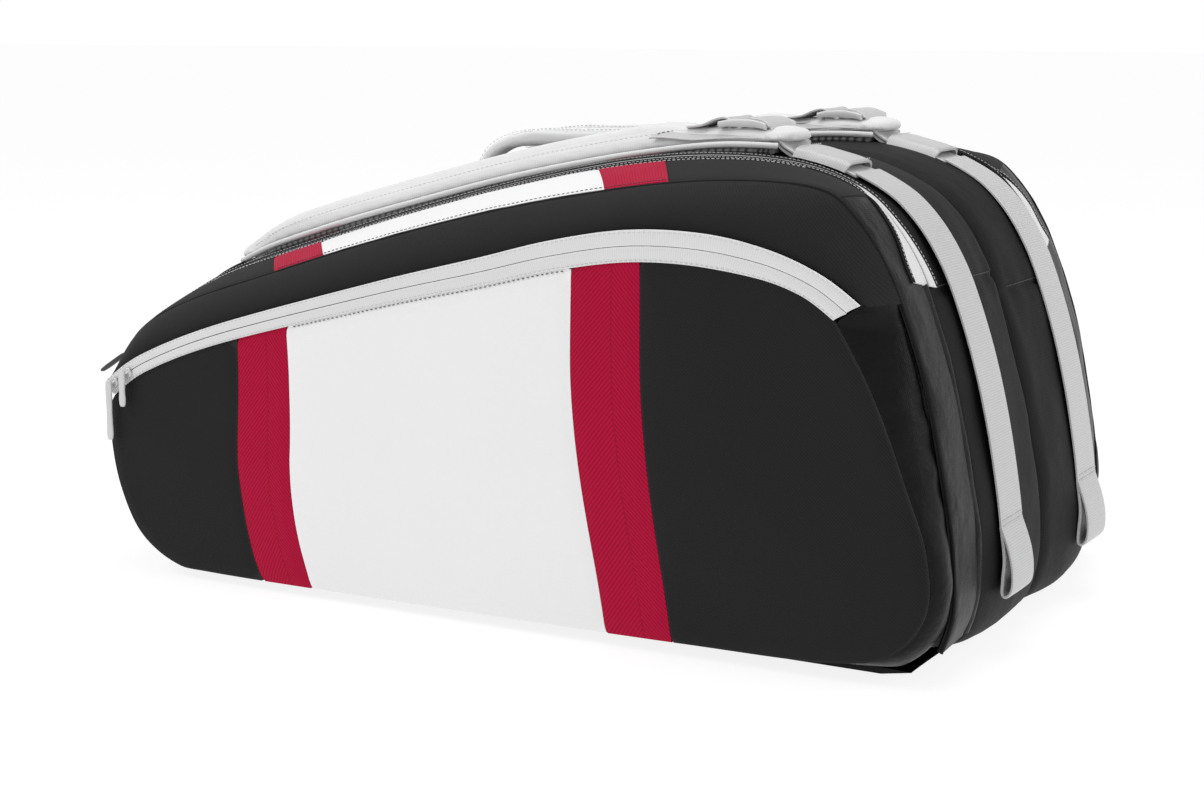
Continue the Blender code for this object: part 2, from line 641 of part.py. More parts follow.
# ---------------------------------------------------------------- grab handles
def handle(word, side):
    """A padded grab handle arching over the top, sewn down at both feet."""
    feet = ((-0.152, 0.3060), (-0.145, 0.3230), (-0.128, 0.3425), (-0.100, 0.3500), (-0.050, 0.3515),
            (0.000, 0.3545), (0.030, 0.3580), (0.050, 0.3570), (0.062, 0.3540))
    line = spline(feet, 3)
    ups = normals(line)
    sections = []
    ring = 10
    for i, (p, n) in enumerate(zip(line, ups)):
        f = i / (len(line) - 1)
        grip = 1.0 - 0.45 * max(0.0, abs(f - 0.5) - 0.30) / 0.20
        section = []
        for k in range(ring):
            a = 2 * math.pi * k / ring
            q = p + n * (0.0060 * grip * math.sin(a))
            section.append((q.x, side * HANDLE_Y + 0.0120 * math.cos(a), q.y))
        sections.append(section)
    pivot = (-0.045, side * HANDLE_Y, 0.328)
    sweep(word + "_handle", "white_strap_fabric", sections, pivot, smooth=True)


for word, side in SIDES:
    centre_half(word, side)
    root_parts(word, side)
    lid_parts(word, side)
    flap_parts(word, side)
    slider_parts(word, side)
    main_slider(word, side)
    strap_parts(word, side)
    tail_parts(word, side)
    handle(word, side)

for obj in bpy.data.objects:
    obj.location.x += MIDDLE_X
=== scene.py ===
"""Racket tournament bag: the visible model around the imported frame. In metres, +Z up, near side -Y."""
import math

import bmesh
import bpy
import numpy as np
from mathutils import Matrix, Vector, noise
from mathutils.geometry import delaunay_2d_cdt


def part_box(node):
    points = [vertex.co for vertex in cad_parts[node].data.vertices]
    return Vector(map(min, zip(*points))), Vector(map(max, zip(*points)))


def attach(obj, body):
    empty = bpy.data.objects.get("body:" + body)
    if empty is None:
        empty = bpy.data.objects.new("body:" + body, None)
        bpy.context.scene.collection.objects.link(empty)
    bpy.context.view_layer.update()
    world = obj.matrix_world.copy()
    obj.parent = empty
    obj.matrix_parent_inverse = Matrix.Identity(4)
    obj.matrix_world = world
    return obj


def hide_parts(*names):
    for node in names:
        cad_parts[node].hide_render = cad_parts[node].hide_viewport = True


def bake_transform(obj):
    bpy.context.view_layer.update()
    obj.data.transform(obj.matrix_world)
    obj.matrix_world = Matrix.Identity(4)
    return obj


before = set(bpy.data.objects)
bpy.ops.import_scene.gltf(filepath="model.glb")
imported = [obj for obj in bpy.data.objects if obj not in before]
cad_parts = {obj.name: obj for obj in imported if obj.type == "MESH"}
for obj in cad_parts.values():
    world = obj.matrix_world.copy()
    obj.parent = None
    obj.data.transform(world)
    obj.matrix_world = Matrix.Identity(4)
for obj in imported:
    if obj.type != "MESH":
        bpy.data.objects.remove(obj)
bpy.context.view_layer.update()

SIDES = (("near", -1.0), ("far", 1.0))
MIDDLE_X = 0.0612
FAR_TAPER = 0.26             # the far compartment is drawn in by this share of its depth at the wide end


# ---------------------------------------------------------------- camera, light and floor
def set_stage():
    scene = bpy.context.scene
    scene.view_settings.view_transform = "Standard"
    cam = bpy.data.objects.new("camera", bpy.data.cameras.new("camera"))
    scene.collection.objects.link(cam)
    cam.location = (0.888, -1.553, 0.45)
    cam.rotation_euler = (math.radians(80), 0, math.radians(29.5))
    cam.data.sensor_width = 36
    cam.data.lens = 64.29
    cam.data.clip_end = 60
    scene.camera = cam

    world = bpy.data.worlds.new("studio")
    world.use_nodes = True
    tree = world.node_tree
    way = tree.nodes.new("ShaderNodeTexCoord")
    split = tree.nodes.new("ShaderNodeSeparateXYZ")
    fade = tree.nodes.new("ShaderNodeMapRange")
    fade.inputs["From Min"].default_value = 0.10
    fade.inputs["From Max"].default_value = 0.45
    fade.inputs["To Min"].default_value = HORIZON
    fade.inputs["To Max"].default_value = ZENITH
    tree.links.new(way.outputs["Generated"], split.inputs[0])
    tree.links.new(split.outputs["Z"], fade.inputs["Value"])
    tree.links.new(fade.outputs["Result"], tree.nodes["Background"].inputs["Strength"])
    tree.nodes["Background"].inputs["Color"].default_value = (1, 1, 1, 1)
    scene.world = world

    for name, spot, aim, size, power in LIGHTS:
        lamp = bpy.data.lights.new(name, "AREA")
        lamp.shape = "RECTANGLE"
        lamp.size, lamp.size_y = size
        lamp.energy = power
        obj = bpy.data.objects.new(name, lamp)
        obj.location = spot
        obj.rotation_euler = (Vector(aim) - Vector(spot)).to_track_quat("-Z", "Y").to_euler()
        scene.collection.objects.link(obj)

    mesh = bpy.data.meshes.new("floor")
    mesh.from_pydata([(-30, -30, -0.0004), (30, -30, -0.0004), (30, 30, -0.0004), (-30, 30, -0.0004)],
                     [], [(0, 1, 2, 3)])
    floor = bpy.data.objects.new("floor", mesh)
    scene.collection.objects.link(floor)
    mat = bpy.data.materials.new("floor")
    mat.use_nodes = True
    shader = mat.node_tree.nodes["Principled BSDF"]
    shader.inputs["Base Color"].default_value = (0.22, 0.22, 0.22, 1)
    shader.inputs["Roughness"].default_value = 0.9
    shader.inputs["Specular IOR Level"].default_value = 0.0
    shader.inputs["Emission Color"].default_value = (1, 1, 1, 1)
    shader.inputs["Emission Strength"].default_value = 0.86
    mesh.materials.append(mat)


HORIZON = 1.0                # sky strength low down, where it is the backdrop
ZENITH = 0.50                # and overhead
LIGHTS = (("key", (-1.6, -1.7, 2.6), (0.0, 0.0, 0.15), (1.8, 1.4), 30.0),
          ("top", (0.1, 0.3, 2.4), (0.05, 0.0, 0.2), (1.6, 1.2), 24.0),
          ("edge", (2.2, 0.5, 1.3), (0.3, 0.0, 0.2), (0.5, 1.2), 9.0))
set_stage()

# ---------------------------------------------------------------- outlines, shared with the CAD part
CENTRE = ((-0.345, 0.000), (-0.394, 0.018), (-0.418, 0.060), (-0.424, 0.112), (-0.413, 0.170),
          (-0.384, 0.218),
          (-0.330, 0.245), (-0.240, 0.275), (-0.150, 0.300), (-0.050, 0.325), (0.050, 0.344), (0.130, 0.353),
          (0.190, 0.348), (0.237, 0.330), (0.264, 0.308), (0.285, 0.276), (0.301, 0.236), (0.315, 0.190),
          (0.327, 0.138), (0.335, 0.088), (0.335, 0.045), (0.322, 0.013), (0.292, 0.000))
LID_TOP_EDGE = ((-0.386, 0.032), (-0.408, 0.072), (-0.415, 0.115), (-0.408, 0.165), (-0.386, 0.208),
                (-0.330, 0.240), (-0.239, 0.270), (-0.140, 0.300), (-0.040, 0.326), (0.050, 0.344),
                (0.125, 0.351),
                (0.190, 0.348), (0.236, 0.334), (0.262, 0.312), (0.284, 0.280), (0.300, 0.240),
                (0.314, 0.192),
                (0.326, 0.140), (0.334, 0.090), (0.334, 0.050), (0.326, 0.022))
LID_FOLD = ((-0.380, 0.032), (-0.400, 0.072), (-0.405, 0.115), (-0.399, 0.160), (-0.381, 0.196),
            (-0.329, 0.224), (-0.239, 0.253), (-0.140, 0.283), (-0.040, 0.309), (0.050, 0.327),
            (0.125, 0.338),
            (0.190, 0.341), (0.236, 0.336), (0.260, 0.318), (0.281, 0.289), (0.298, 0.252), (0.314, 0.205),
            (0.326, 0.150), (0.335, 0.098), (0.337, 0.052), (0.329, 0.022))
POCKET_FOLD = ((-0.397, 0.141), (-0.399, 0.110), (-0.392, 0.066), (-0.372, 0.028), (-0.335, 0.0090),
               (-0.290, 0.0085),
               (-0.150, 0.0085), (0.020, 0.0085), (0.180, 0.0085), (0.270, 0.0085), (0.312, 0.018),
               (0.333, 0.052),
               (0.331, 0.098), (0.322, 0.150), (0.309, 0.205), (0.2915, 0.2605))
FLAP_EDGE = ((-0.387, 0.140), (-0.388, 0.109), (-0.380, 0.070), (-0.360, 0.033), (-0.325, 0.0115),
             (-0.285, 0.0080),
             (-0.150, 0.0080), (0.020, 0.0090), (0.150, 0.0105), (0.255, 0.0130), (0.303, 0.0245),
             (0.328, 0.056),
             (0.327, 0.098), (0.312, 0.140), (0.295, 0.183), (0.279, 0.216), (0.2585, 0.2505))
ARCH = ((-0.386, 0.153), (-0.348, 0.1765), (-0.268, 0.206), (-0.119, 0.246), (-0.027, 0.268), (0.038, 0.284),
        (0.100, 0.294), (0.158, 0.294), (0.202, 0.286), (0.236, 0.272), (0.262, 0.254))
RED_EDGES = (((-.252, .22), (-.2515, .155), (-.251, .112), (-.248, .070), (-.241, .029), (-.229, .0)),
             ((-.204, .23), (-.201, .170), (-.199, .130), (-.199, .083), (-.194, .043), (-.182, .0)),
             ((.054, .30), (.054, .230), (.057, .181), (.068, .100), (.084, .0)),
             ((.109, .31), (.111, .235), (.114, .186), (.124, .100), (.138, .0)))
STRIP_CUTS = (-0.239, -0.190, 0.063, 0.115)
STRIP_SKEW = 7.6             # the strip's cross seams run this many points back towards the zip
FAR_FROM_EDGE = 0.02         # edge distance in the cloth coordinates of a piece without a worn edge
EDGE_ROUNDING = 0.35         # how far a cloth's long edge bulges, as a share of its thickness
RIM_RINGS = (0.0008, 0.0022, 0.0045)    # a panel's mesh follows its seam at these distances
NEVER_SHARP = 3.2            # an edge angle that no mesh reaches
PAD_BASE = 0.0044            # underside of the strap pad above its run
PAD_BOW = 0.0030             # and how far its edges bend down
STRAP_POINTS = 150
SIM_FRAMES = 20
SIM_PRESSURE = 4.0
HALF_EDGE = 0.1355
ZIP_MIDDLE = 0.1409
LID_INNER = 0.1462
LID_SEAM = 0.1990
FACE_BACK = 0.1996
FACE_FRONT = 0.2278
FLAP_BACK = 0.2284
FLAP_FRONT = 0.2330
ZIP_END_Z = 0.268
STRAP_Y = 0.090
WEB = 0.045
WEB_THICK = 0.0021
HANDLE_Y = 0.033


def catmull(points, steps):
    """Smooth curve through the points, steps pieces per span."""
    p = np.array([points[0]] + list(points) + [points[-1]], float)
    t = (np.arange(steps) / steps)[:, None]
    out = []
    for i in range(1, len(p) - 2):
        a, b, c, d = p[i - 1:i + 3]
        out.append(0.5 * (2 * b + (c - a) * t + (2 * a - 5 * b + 4 * c - d) * t ** 2
                          + (3 * b - a - 3 * c + d) * t ** 3))
    out.append(p[-2][None])
    return np.concatenate(out)


def lengths(path):
    return np.concatenate([[0], np.cumsum(np.linalg.norm(np.diff(path, axis=0), axis=1))])


def even(path, count):
    """The path again with count evenly spaced points."""
    run = lengths(path)
    at = np.linspace(0, run[-1], count)
    return np.stack([np.interp(at, run, path[:, k]) for k in range(path.shape[1])], 1)


def between(path, low, high, count):
    """The stretch of the path from length share low to high, with count even points."""
    run = lengths(path)
    at = np.linspace(run[-1] * low, run[-1] * high, count)
    return np.stack([np.interp(at, run, path[:, k]) for k in range(path.shape[1])], 1)


def share_at(path, test):
    """The length share of the first point that passes the test."""
    run = lengths(path)
    for i, p in enumerate(path):
        if test(p[0], p[1]):
            return run[i] / run[-1]
    return 1.0


def normals(path, closed=False):
    """Unit normals pointing out of an outline drawn over the top."""
    if closed:
        d = np.roll(path, -1, 0) - np.roll(path, 1, 0)
    else:
        d = np.gradient(path, axis=0)
    d = d / np.maximum(np.linalg.norm(d, axis=1, keepdims=True), 1e-9)
    return np.stack([-d[:, 1], d[:, 0]], 1)


def offset(path, distance):
    """The path moved outwards; distance may be one number or one per point."""
    return path + normals(path) * np.reshape(distance, (-1, 1))


def smooth(x):
    x = np.clip(x, 0, 1)
    return x * x * (3 - 2 * x)


def squared(v, power):
    """A sine or cosine bent towards a squarer ring."""
    return math.copysign(abs(v) ** power, v)


def ripple(points, scale, seed):
    """Smooth noise from -1 to 1 at each point (n, 3)."""
    shift = Vector((seed * 7.31, seed * 3.17, seed * 5.53))
    flat = points.reshape(-1, 3)
    vals = [noise.noise(Vector(p) * scale + shift) for p in flat]
    return np.array(vals).reshape(points.shape[:-1])


# ---------------------------------------------------------------- mesh helpers
def build(name, verts, faces, mat, cloth=None, side=1.0, sharp=0.9):
    """A mesh object from points and faces, mirrored by side, with its cloth coordinates."""
    verts = np.array(verts, float)
    if side > 0:
        verts[:, 0] -= FAR_TAPER * np.maximum(verts[:, 1] - 0.115, 0) * smooth((verts[:, 0] - 0.10) / 0.16)
    verts[:, 0] += MIDDLE_X
    verts[:, 1] *= side
    mesh = bpy.data.meshes.new(name)
    mesh.from_pydata(verts.tolist(), [], [list(map(int, f)) for f in faces])
    if cloth is not None:
        attribute = mesh.attributes.new("cloth", "FLOAT_VECTOR", "POINT")
        attribute.data.foreach_set("vector", np.array(cloth, np.float32).ravel())
    bm = bmesh.new()
    bm.from_mesh(mesh)
    bmesh.ops.recalc_face_normals(bm, faces=bm.faces)
    for f in bm.faces:
        f.smooth = True
    for e in bm.edges:
        if len(e.link_faces) == 2 and e.calc_face_angle(0.0) > sharp:
            e.smooth = False
    bm.to_mesh(mesh)
    bm.free()
    mesh.materials.append(mat)
    obj = bpy.data.objects.new(name, mesh)
    bpy.context.scene.collection.objects.link(obj)
    return obj


def ring_faces(n, k):
    """The faces between n rings of k points."""
    return [(i * k + j, i * k + (j + 1) % k, (i + 1) * k + (j + 1) % k, (i + 1) * k + j)
            for i in range(n - 1) for j in range(k)]


def along_across(grid):
    """Length along and across a grid of points (n, m, 3)."""
    n, m = grid.shape[:2]
    along = lengths(grid.mean(1))[:, None] * np.ones((1, m))
    d = np.linalg.norm(np.diff(grid, axis=1), axis=2)
    return along, np.concatenate([np.zeros((n, 1)), np.cumsum(d, 1)], 1)


def sweep(name, sections, mat, side=1.0, cap="strip", cloth=None):
    """A closed solid through sections (n, k, 3), each a ring of points in the same order."""
    n, k = sections.shape[:2]
    faces = ring_faces(n, k)
    for base in (0, (n - 1) * k):
        if cap == "strip":
            for j in range(k // 2 - 1):
                faces.append((base + j, base + j + 1, base + k - 2 - j, base + k - 1 - j))
        else:
            faces.append(tuple(range(base, base + k)))
    if cloth is None:
        along, across = along_across(sections)
        cloth = np.stack([along, across, np.full((n, k), FAR_FROM_EDGE)], 2)
    return build(name, sections.reshape(-1, 3), faces, mat, cloth.reshape(-1, 3), side)


def lift_xz(path, y):
    """Points (x, y, z) from a path in x, z and a depth."""
    return np.stack([path[:, 0], np.broadcast_to(y, len(path)).astype(float), path[:, 1]], 1)


def lift_grid(xz, y):
    """A grid (n, m, 3) from a grid in x, z and its depths."""
    return np.stack([xz[..., 0], y, xz[..., 1]], 2)


def loft(a, b, t):
    """Grid (n, m, 2) that runs from path a to path b at the shares t."""
    return a[:, None] * (1 - t[None, :, None]) + b[:, None] * t[None, :, None]


def upright(n):
    """Directions (n, 3) in the x, z plane from directions (n, 2)."""
    return np.stack([n[:, 0], 0 * n[:, 0], n[:, 1]], 1)


def slab(name, outer, thick, mat, side, inward, cloth=None):
    """A closed cloth body from a grid (n, m, 3) and the same grid thick below it, with rounded long edges."""
    du = np.gradient(outer, axis=0)
    dv = np.gradient(outer, axis=1)
    nrm = np.cross(du, dv)
    nrm /= np.maximum(np.linalg.norm(nrm, axis=2, keepdims=True), 1e-9)
    if (nrm * inward).sum() > 0:
        nrm = -nrm
    inner = outer - nrm * thick
    edge = thick * EDGE_ROUNDING
    first = (outer[:, :1] + inner[:, :1]) / 2 - _unit(outer[:, 1:2] - outer[:, :1]) * edge
    last = (outer[:, -1:] + inner[:, -1:]) / 2 - _unit(outer[:, -2:-1] - outer[:, -1:]) * edge
    ring = np.concatenate([first, outer, last, last, inner[:, ::-1], first], 1)
    keep = [j for j in range(ring.shape[1]) if j not in (outer.shape[1] + 2, ring.shape[1] - 1)]
    ring = ring[:, keep]
    n, m = outer.shape[:2]
    if cloth is None:
        along, across = along_across(outer)
        rim = np.minimum(across, across[:, -1:] - across)
        cloth = np.stack([along, across, rim], 2)
    rings = np.concatenate([cloth[:, :1], cloth, cloth[:, -1:], cloth[:, ::-1]], 1)
    k = ring.shape[1]
    faces = ring_faces(n, k)
    for base in (0, (n - 1) * k):
        faces.append((base, base + 1, base + k - 1))
        for j in range(1, m):
            faces.append((base + j, base + j + 1, base + k - 1 - j, base + k - j))
        faces.append((base + m, base + m + 1, base + m + 2))
    return build(name, ring.reshape(-1, 3), faces, mat, rings.reshape(-1, 3), side)


def _unit(v):
    return v / np.maximum(np.linalg.norm(v, axis=-1, keepdims=True), 1e-9)


def edge_distance(points, outline):
    """Distance of each point (n, 2) to the closed outline."""
    a = outline
    b = np.roll(outline, -1, 0)
    ab = b - a
    best = np.full(len(points), 1e9)
    size = np.maximum((ab ** 2).sum(1), 1e-12)
    for start in range(0, len(points), 2000):
        p = points[start:start + 2000]
        t = np.clip(((p[:, None] - a) * ab).sum(2) / size, 0, 1)
        d = np.linalg.norm(p[:, None] - a - ab * t[..., None], axis=2).min(1)
        best[start:start + 2000] = d
    return best


def inside(points, outline):
    x, z = points[:, 0], points[:, 1]
    hit = np.zeros(len(points), bool)
    a = outline
    b = np.roll(outline, -1, 0)
    for (x0, z0), (x1, z1) in zip(a, b):
        if z0 == z1:
            continue
        cross = ((z0 > z) != (z1 > z)) & (x < (x1 - x0) * (z - z0) / (z1 - z0) + x0)
        hit ^= cross
    return hit


def panel(name, outline, front, back, mat, side, step, cloth=None):
    """A cushion-edged cloth panel: front(points, edge distance) gives the depth of each point, back is flat."""
    closed = np.concatenate([outline, outline[:1]])
    rim = even(closed, int(lengths(closed)[-1] / (step * 0.75)) + 1)[:-1]
    x0, z0 = rim.min(0)
    x1, z1 = rim.max(0)
    xs = np.arange(x0, x1, step)
    zs = np.arange(z0, z1, step * 0.866)
    gx, gz = np.meshgrid(xs, zs)
    gx = gx + (np.arange(len(zs)) % 2)[:, None] * step / 2
    grid = np.stack([gx.ravel(), gz.ravel()], 1)
    grid = grid[inside(grid, rim)]
    grid = grid[edge_distance(grid, rim) > RIM_RINGS[-1] + step * 0.45]
    area = np.sum(rim[:, 0] * np.roll(rim[:, 1], -1) - np.roll(rim[:, 0], -1) * rim[:, 1])
    turn = -1.0 if area > 0 else 1.0
    layers = [grid]
    for r in RIM_RINGS:
        ring = rim - normals(rim, True) * r * -turn
        ring = ring[edge_distance(ring, rim) > r * 0.8]
        layers.append(ring[inside(ring, rim)])
    extra = np.concatenate(layers)
    pts = np.concatenate([rim, extra])
    edges = [(i, (i + 1) % len(rim)) for i in range(len(rim))]
    out, _, tris, _, _, _ = delaunay_2d_cdt([Vector(p) for p in pts], edges, [], 1, 1e-6)
    flat = np.array([tuple(p) for p in out])
    d = edge_distance(flat, rim)
    y = front(flat, d)
    n = len(flat)
    top = np.stack([flat[:, 0], y, flat[:, 1]], 1)
    low = np.stack([flat[:, 0], np.full(n, back), flat[:, 1]], 1)
    count = {}
    for t in tris:
        for i in range(3):
            e = (t[i], t[(i + 1) % 3])
            if (e[1], e[0]) in count:
                del count[(e[1], e[0])]
            else:
                count[e] = True
    faces = [tuple(t) for t in tris] + [tuple(n + i for i in t[::-1]) for t in tris]
    faces += [(a, n + a, n + b, b) for a, b in count]
    uvd = cloth(flat, d) if cloth else np.stack([flat[:, 0], flat[:, 1], d], 1)
    return build(name, np.concatenate([top, low]), faces, mat, np.concatenate([uvd, uvd]), side)


def row_of(name, path, ups, mat, side, span, away, shape, base, sharp):
    """Copies of a small shape along a path (n, 3), at lengths span, standing on the surface with normals ups."""
    run = lengths(path)
    at = np.arange(span[0], run[-1] - span[1], span[2])

    def pick(values):
        return np.stack([np.interp(at, run, values[:, k]) for k in range(3)], 1)

    mids, d, u = pick(path), _unit(pick(np.gradient(path, axis=0))), _unit(pick(ups))
    w = _unit(np.cross(d, u)) * away
    verts = (mids[:, None] + d[:, None] * shape[None, :, :1] + w[:, None] * shape[None, :, 1:2]
             + u[:, None] * shape[None, :, 2:])
    size = len(shape)
    faces = [tuple(size * i + j for j in f) for i in range(len(mids)) for f in base]
    return build(name, verts.reshape(-1, 3), faces, mat, np.zeros((len(verts) * size, 3)), side, sharp)


def stitches(name, path, ups, mat, side=1.0, step=0.0042, long=0.0030, wide=0.0006, high=0.00035):
    """A run of sewn stitches, pointed at both ends."""
    shape = [(-1, 0, 0.1)]
    for t in (-0.62, 0.62):
        for a in range(6):
            ang = math.pi * a / 3
            shape.append((t, math.cos(ang), 0.35 + math.sin(ang)))
    shape.append((1, 0, 0.1))
    base = [(0, 1 + a, 1 + (a + 1) % 6) for a in range(6)]
    base += [(1 + a, 7 + a, 7 + (a + 1) % 6, 1 + (a + 1) % 6) for a in range(6)]
    base += [(13, 7 + (a + 1) % 6, 7 + a) for a in range(6)]
    shape = np.array(shape) * (long / 2, wide / 2, high)
    return row_of(name, path, ups, mat, side, (step * 0.7, step * 0.5, step), 1.0, shape, base, NEVER_SHARP)


def teeth(name, path, ups, mat, side, step, reach, away):
    """A row of zip teeth along a path, each reaching sideways over the middle."""
    prof = [(-0.5, 0.0), (-0.32, 0.8), (0.32, 0.8), (0.5, 0.0), (0.32, -0.7), (-0.32, -0.7)]
    shape = []
    for across, swell in ((0.0, 0.8), (0.55, 0.8), (0.8, 1.15), (1.0, 0.8)):
        for a, b in prof:
            shape.append((a * swell * step * 0.62, across * reach, b * swell * 0.0008))
    shape = np.array(shape)
    base = [(5, 4, 3, 2, 1, 0), (18, 19, 20, 21, 22, 23)]
    for r in range(3):
        for a in range(6):
            b = (a + 1) % 6
            base.append((r * 6 + a, r * 6 + b, r * 6 + 6 + b, r * 6 + 6 + a))
    return row_of(name, path, ups, mat, side, (step, step, step), away, shape, base, 1.2)


def tube(name, path, ups, radius, mat, side=1.0, ring=8):
    """A bead or piping along a path (n, 3)."""
    d = _unit(np.gradient(path, axis=0))
    u = _unit(ups)
    w = _unit(np.cross(d, u))
    ang = 2 * np.pi * np.arange(ring) / ring
    rad = np.reshape(radius, (-1, 1, 1)) if np.ndim(radius) else radius
    sections = path[:, None] + rad * (w[:, None] * np.cos(ang)[None, :, None]
                                      + u[:, None] * np.sin(ang)[None, :, None])
    return sweep(name, sections, mat, side, cap="fan")


# ---------------------------------------------------------------- materials
class Look:
    """A procedural material: a Principled shader with helpers for its nodes."""

    def __init__(self, name, rough, specular=0.4, sheen=0.0, coat=0.0, metal=0.0):
        self.mat = bpy.data.materials.new(name)
        self.mat.use_nodes = True
        self.tree = self.mat.node_tree
        self.shader = self.tree.nodes["Principled BSDF"]
        for pin, value in (("Roughness", rough), ("Specular IOR Level", specular), ("Sheen Weight", sheen),
                           ("Sheen Roughness", 0.5), ("Coat Weight", coat), ("Metallic", metal)):
            self.shader.inputs[pin].default_value = value

    def node(self, kind, **values):
        n = self.tree.nodes.new("ShaderNode" + kind)
        for key, value in values.items():
            setattr(n, key, value)
        return n

    def link(self, a, b):
        self.tree.links.new(a, b)

    def maths(self, op, a, b=0.0):
        n = self.node("Math", operation=op)
        for i, v in enumerate((a, b)):
            if isinstance(v, (int, float)):
                n.inputs[i].default_value = v
            else:
                self.link(v, n.inputs[i])
        return n.outputs[0]

    def split(self, vector):
        s = self.node("SeparateXYZ")
        self.link(vector, s.inputs[0])
        return s.outputs

    def cloth(self):
        """The piece's cloth coordinates: along, across, and distance from its edge, in metres."""
        return self.split(self.node("Attribute", attribute_name="cloth").outputs["Vector"])

    def place(self):
        """Coordinates on the object itself, for pieces without cloth coordinates."""
        return self.split(self.node("TexCoord").outputs["Object"])

    def noise(self, scale, detail=3.0):
        c = self.node("TexCoord")
        n = self.node("TexNoise")
        for pin, value in (("Scale", scale), ("Detail", detail), ("Roughness", 0.55)):
            n.inputs[pin].default_value = value
        self.link(c.outputs["Object"], n.inputs["Vector"])
        return n.outputs["Fac"]

    def wave(self, value, period):
        """A sine from 0 to 1 along a value in metres."""
        s = self.maths("SINE", self.maths("MULTIPLY", value, 2 * math.pi / period))
        return self.maths("ADD", self.maths("MULTIPLY", s, 0.5), 0.5)

    def mix(self, fac, low, high):
        """A colour between low and high."""
        n = self.node("Mix", data_type="RGBA")
        for i, v in ((6, low), (7, high)):
            if isinstance(v, tuple):
                n.inputs[i].default_value = (*v, 1)
            else:
                self.link(v, n.inputs[i])
        self.link(fac, n.inputs[0])
        return n.outputs[2]

    def colour(self, socket):
        self.link(socket, self.shader.inputs["Base Color"])

    def bump(self, *layers):
        """Bumps from (height socket, distance in metres) layers."""
        last = None
        for height, distance in layers:
            n = self.node("Bump")
            n.inputs["Strength"].default_value = 1.0
            n.inputs["Distance"].default_value = distance
            self.link(height, n.inputs["Height"])
            if last:
                self.link(last, n.inputs["Normal"])
            last = n.outputs["Normal"]
        self.link(last, self.shader.inputs["Normal"])


def woven(name, dark, light, rough, period, kind="twill", depth=0.00018, sheen=0.0, specular=0.20, stain=0.25,
          object_space=False, wrinkle=0.0):
    """A woven cloth: two colours in the weave, slow variation, paler wear along its edges, fine bumps."""
    m = Look(name, rough, specular, sheen)
    along, across, rim = m.place() if object_space else m.cloth()
    if kind == "twill":
        a = m.wave(m.maths("ADD", along, across), period)
        b = m.wave(m.maths("SUBTRACT", along, across), period * 0.5)
        weave = m.maths("MULTIPLY", a, m.maths("ADD", m.maths("MULTIPLY", b, 0.6), 0.4))
    elif kind == "plain":
        weave = m.maths("MULTIPLY", m.wave(along, period), m.wave(across, period))
    elif kind == "rib":
        weave = m.maths("ADD", m.maths("MULTIPLY", m.wave(along, period), 0.7),
                        m.maths("MULTIPLY", m.wave(across, period * 0.6), 0.3))
    else:
        weave = m.maths("POWER", m.maths("MULTIPLY", m.wave(m.maths("ADD", along, across), period),
                                         m.wave(m.maths("SUBTRACT", along, across), period)), 0.6)
    slow = m.noise(9.0)
    fac = m.maths("ADD", m.maths("MULTIPLY", weave, 1.0 - stain), m.maths("MULTIPLY", slow, stain))
    base = m.mix(fac, dark, light)
    if not object_space:
        wear = m.maths("MULTIPLY", m.maths("SUBTRACT", 1.0, m.maths("MINIMUM",
                                                                    m.maths("MULTIPLY", rim, 500.0), 1.0)),
                       m.maths("MULTIPLY", m.noise(60.0), 0.35))
        base = m.mix(wear, base, tuple(min(1.0, c * 1.8 + 0.02) for c in light))
    m.colour(base)
    layers = [(weave, depth)]
    if wrinkle:
        layers.append((m.noise(22.0, 4.0), wrinkle))
    m.bump(*layers)
    return m.mat


def herringbone(name, dark, light, period, wide):
    """Red twill tape: diagonal ribs that turn round at a line at 0.6 of its width."""
    m = Look(name, 0.62, 0.12, 0.0)
    along, across, rim = m.cloth()
    turn = m.maths("ABSOLUTE", m.maths("SUBTRACT", across, wide * 0.6))
    rib = m.wave(m.maths("ADD", m.maths("MULTIPLY", along, 0.8), turn), period)
    groove = m.maths("MINIMUM", m.maths("MULTIPLY", turn, 1500.0), 1.0)
    weave = m.maths("MULTIPLY", rib, groove)
    fac = m.maths("ADD", m.maths("MULTIPLY", weave, 0.75), m.maths("MULTIPLY", m.noise(14.0), 0.25))
    m.colour(m.mix(fac, dark, light))
    m.bump((weave, 0.00025))
    return m.mat


def netting(name):
    """Spacer mesh: grey cords round holes painted near black as painted shade, braided across its width."""
    m = Look(name, 0.85, 0.2, 0.2)
    along, across, rim = m.cloth()
    a = m.wave(m.maths("ADD", along, across), 0.0062)
    b = m.wave(m.maths("SUBTRACT", along, across), 0.0062)
    hole = m.maths("POWER", m.maths("MULTIPLY", a, b), 0.8)
    # painted shade: the holes get near-black colour for the shade inside the open mesh
    m.colour(m.mix(hole, (0.17, 0.17, 0.175), (0.02, 0.02, 0.021)))
    m.bump((m.maths("SUBTRACT", 1.0, hole), 0.0007))
    return m.mat


def moulded(name, low, high, rough, coat=0.0, metal=0.0, grain=0.00004):
    """Moulded plastic or painted metal with slight mottling and a fine surface grain."""
    m = Look(name, rough, 0.5, 0.0, coat, metal)
    m.colour(m.mix(m.noise(30.0), low, high))
    m.bump((m.noise(900.0, 2.0), grain))
    return m.mat


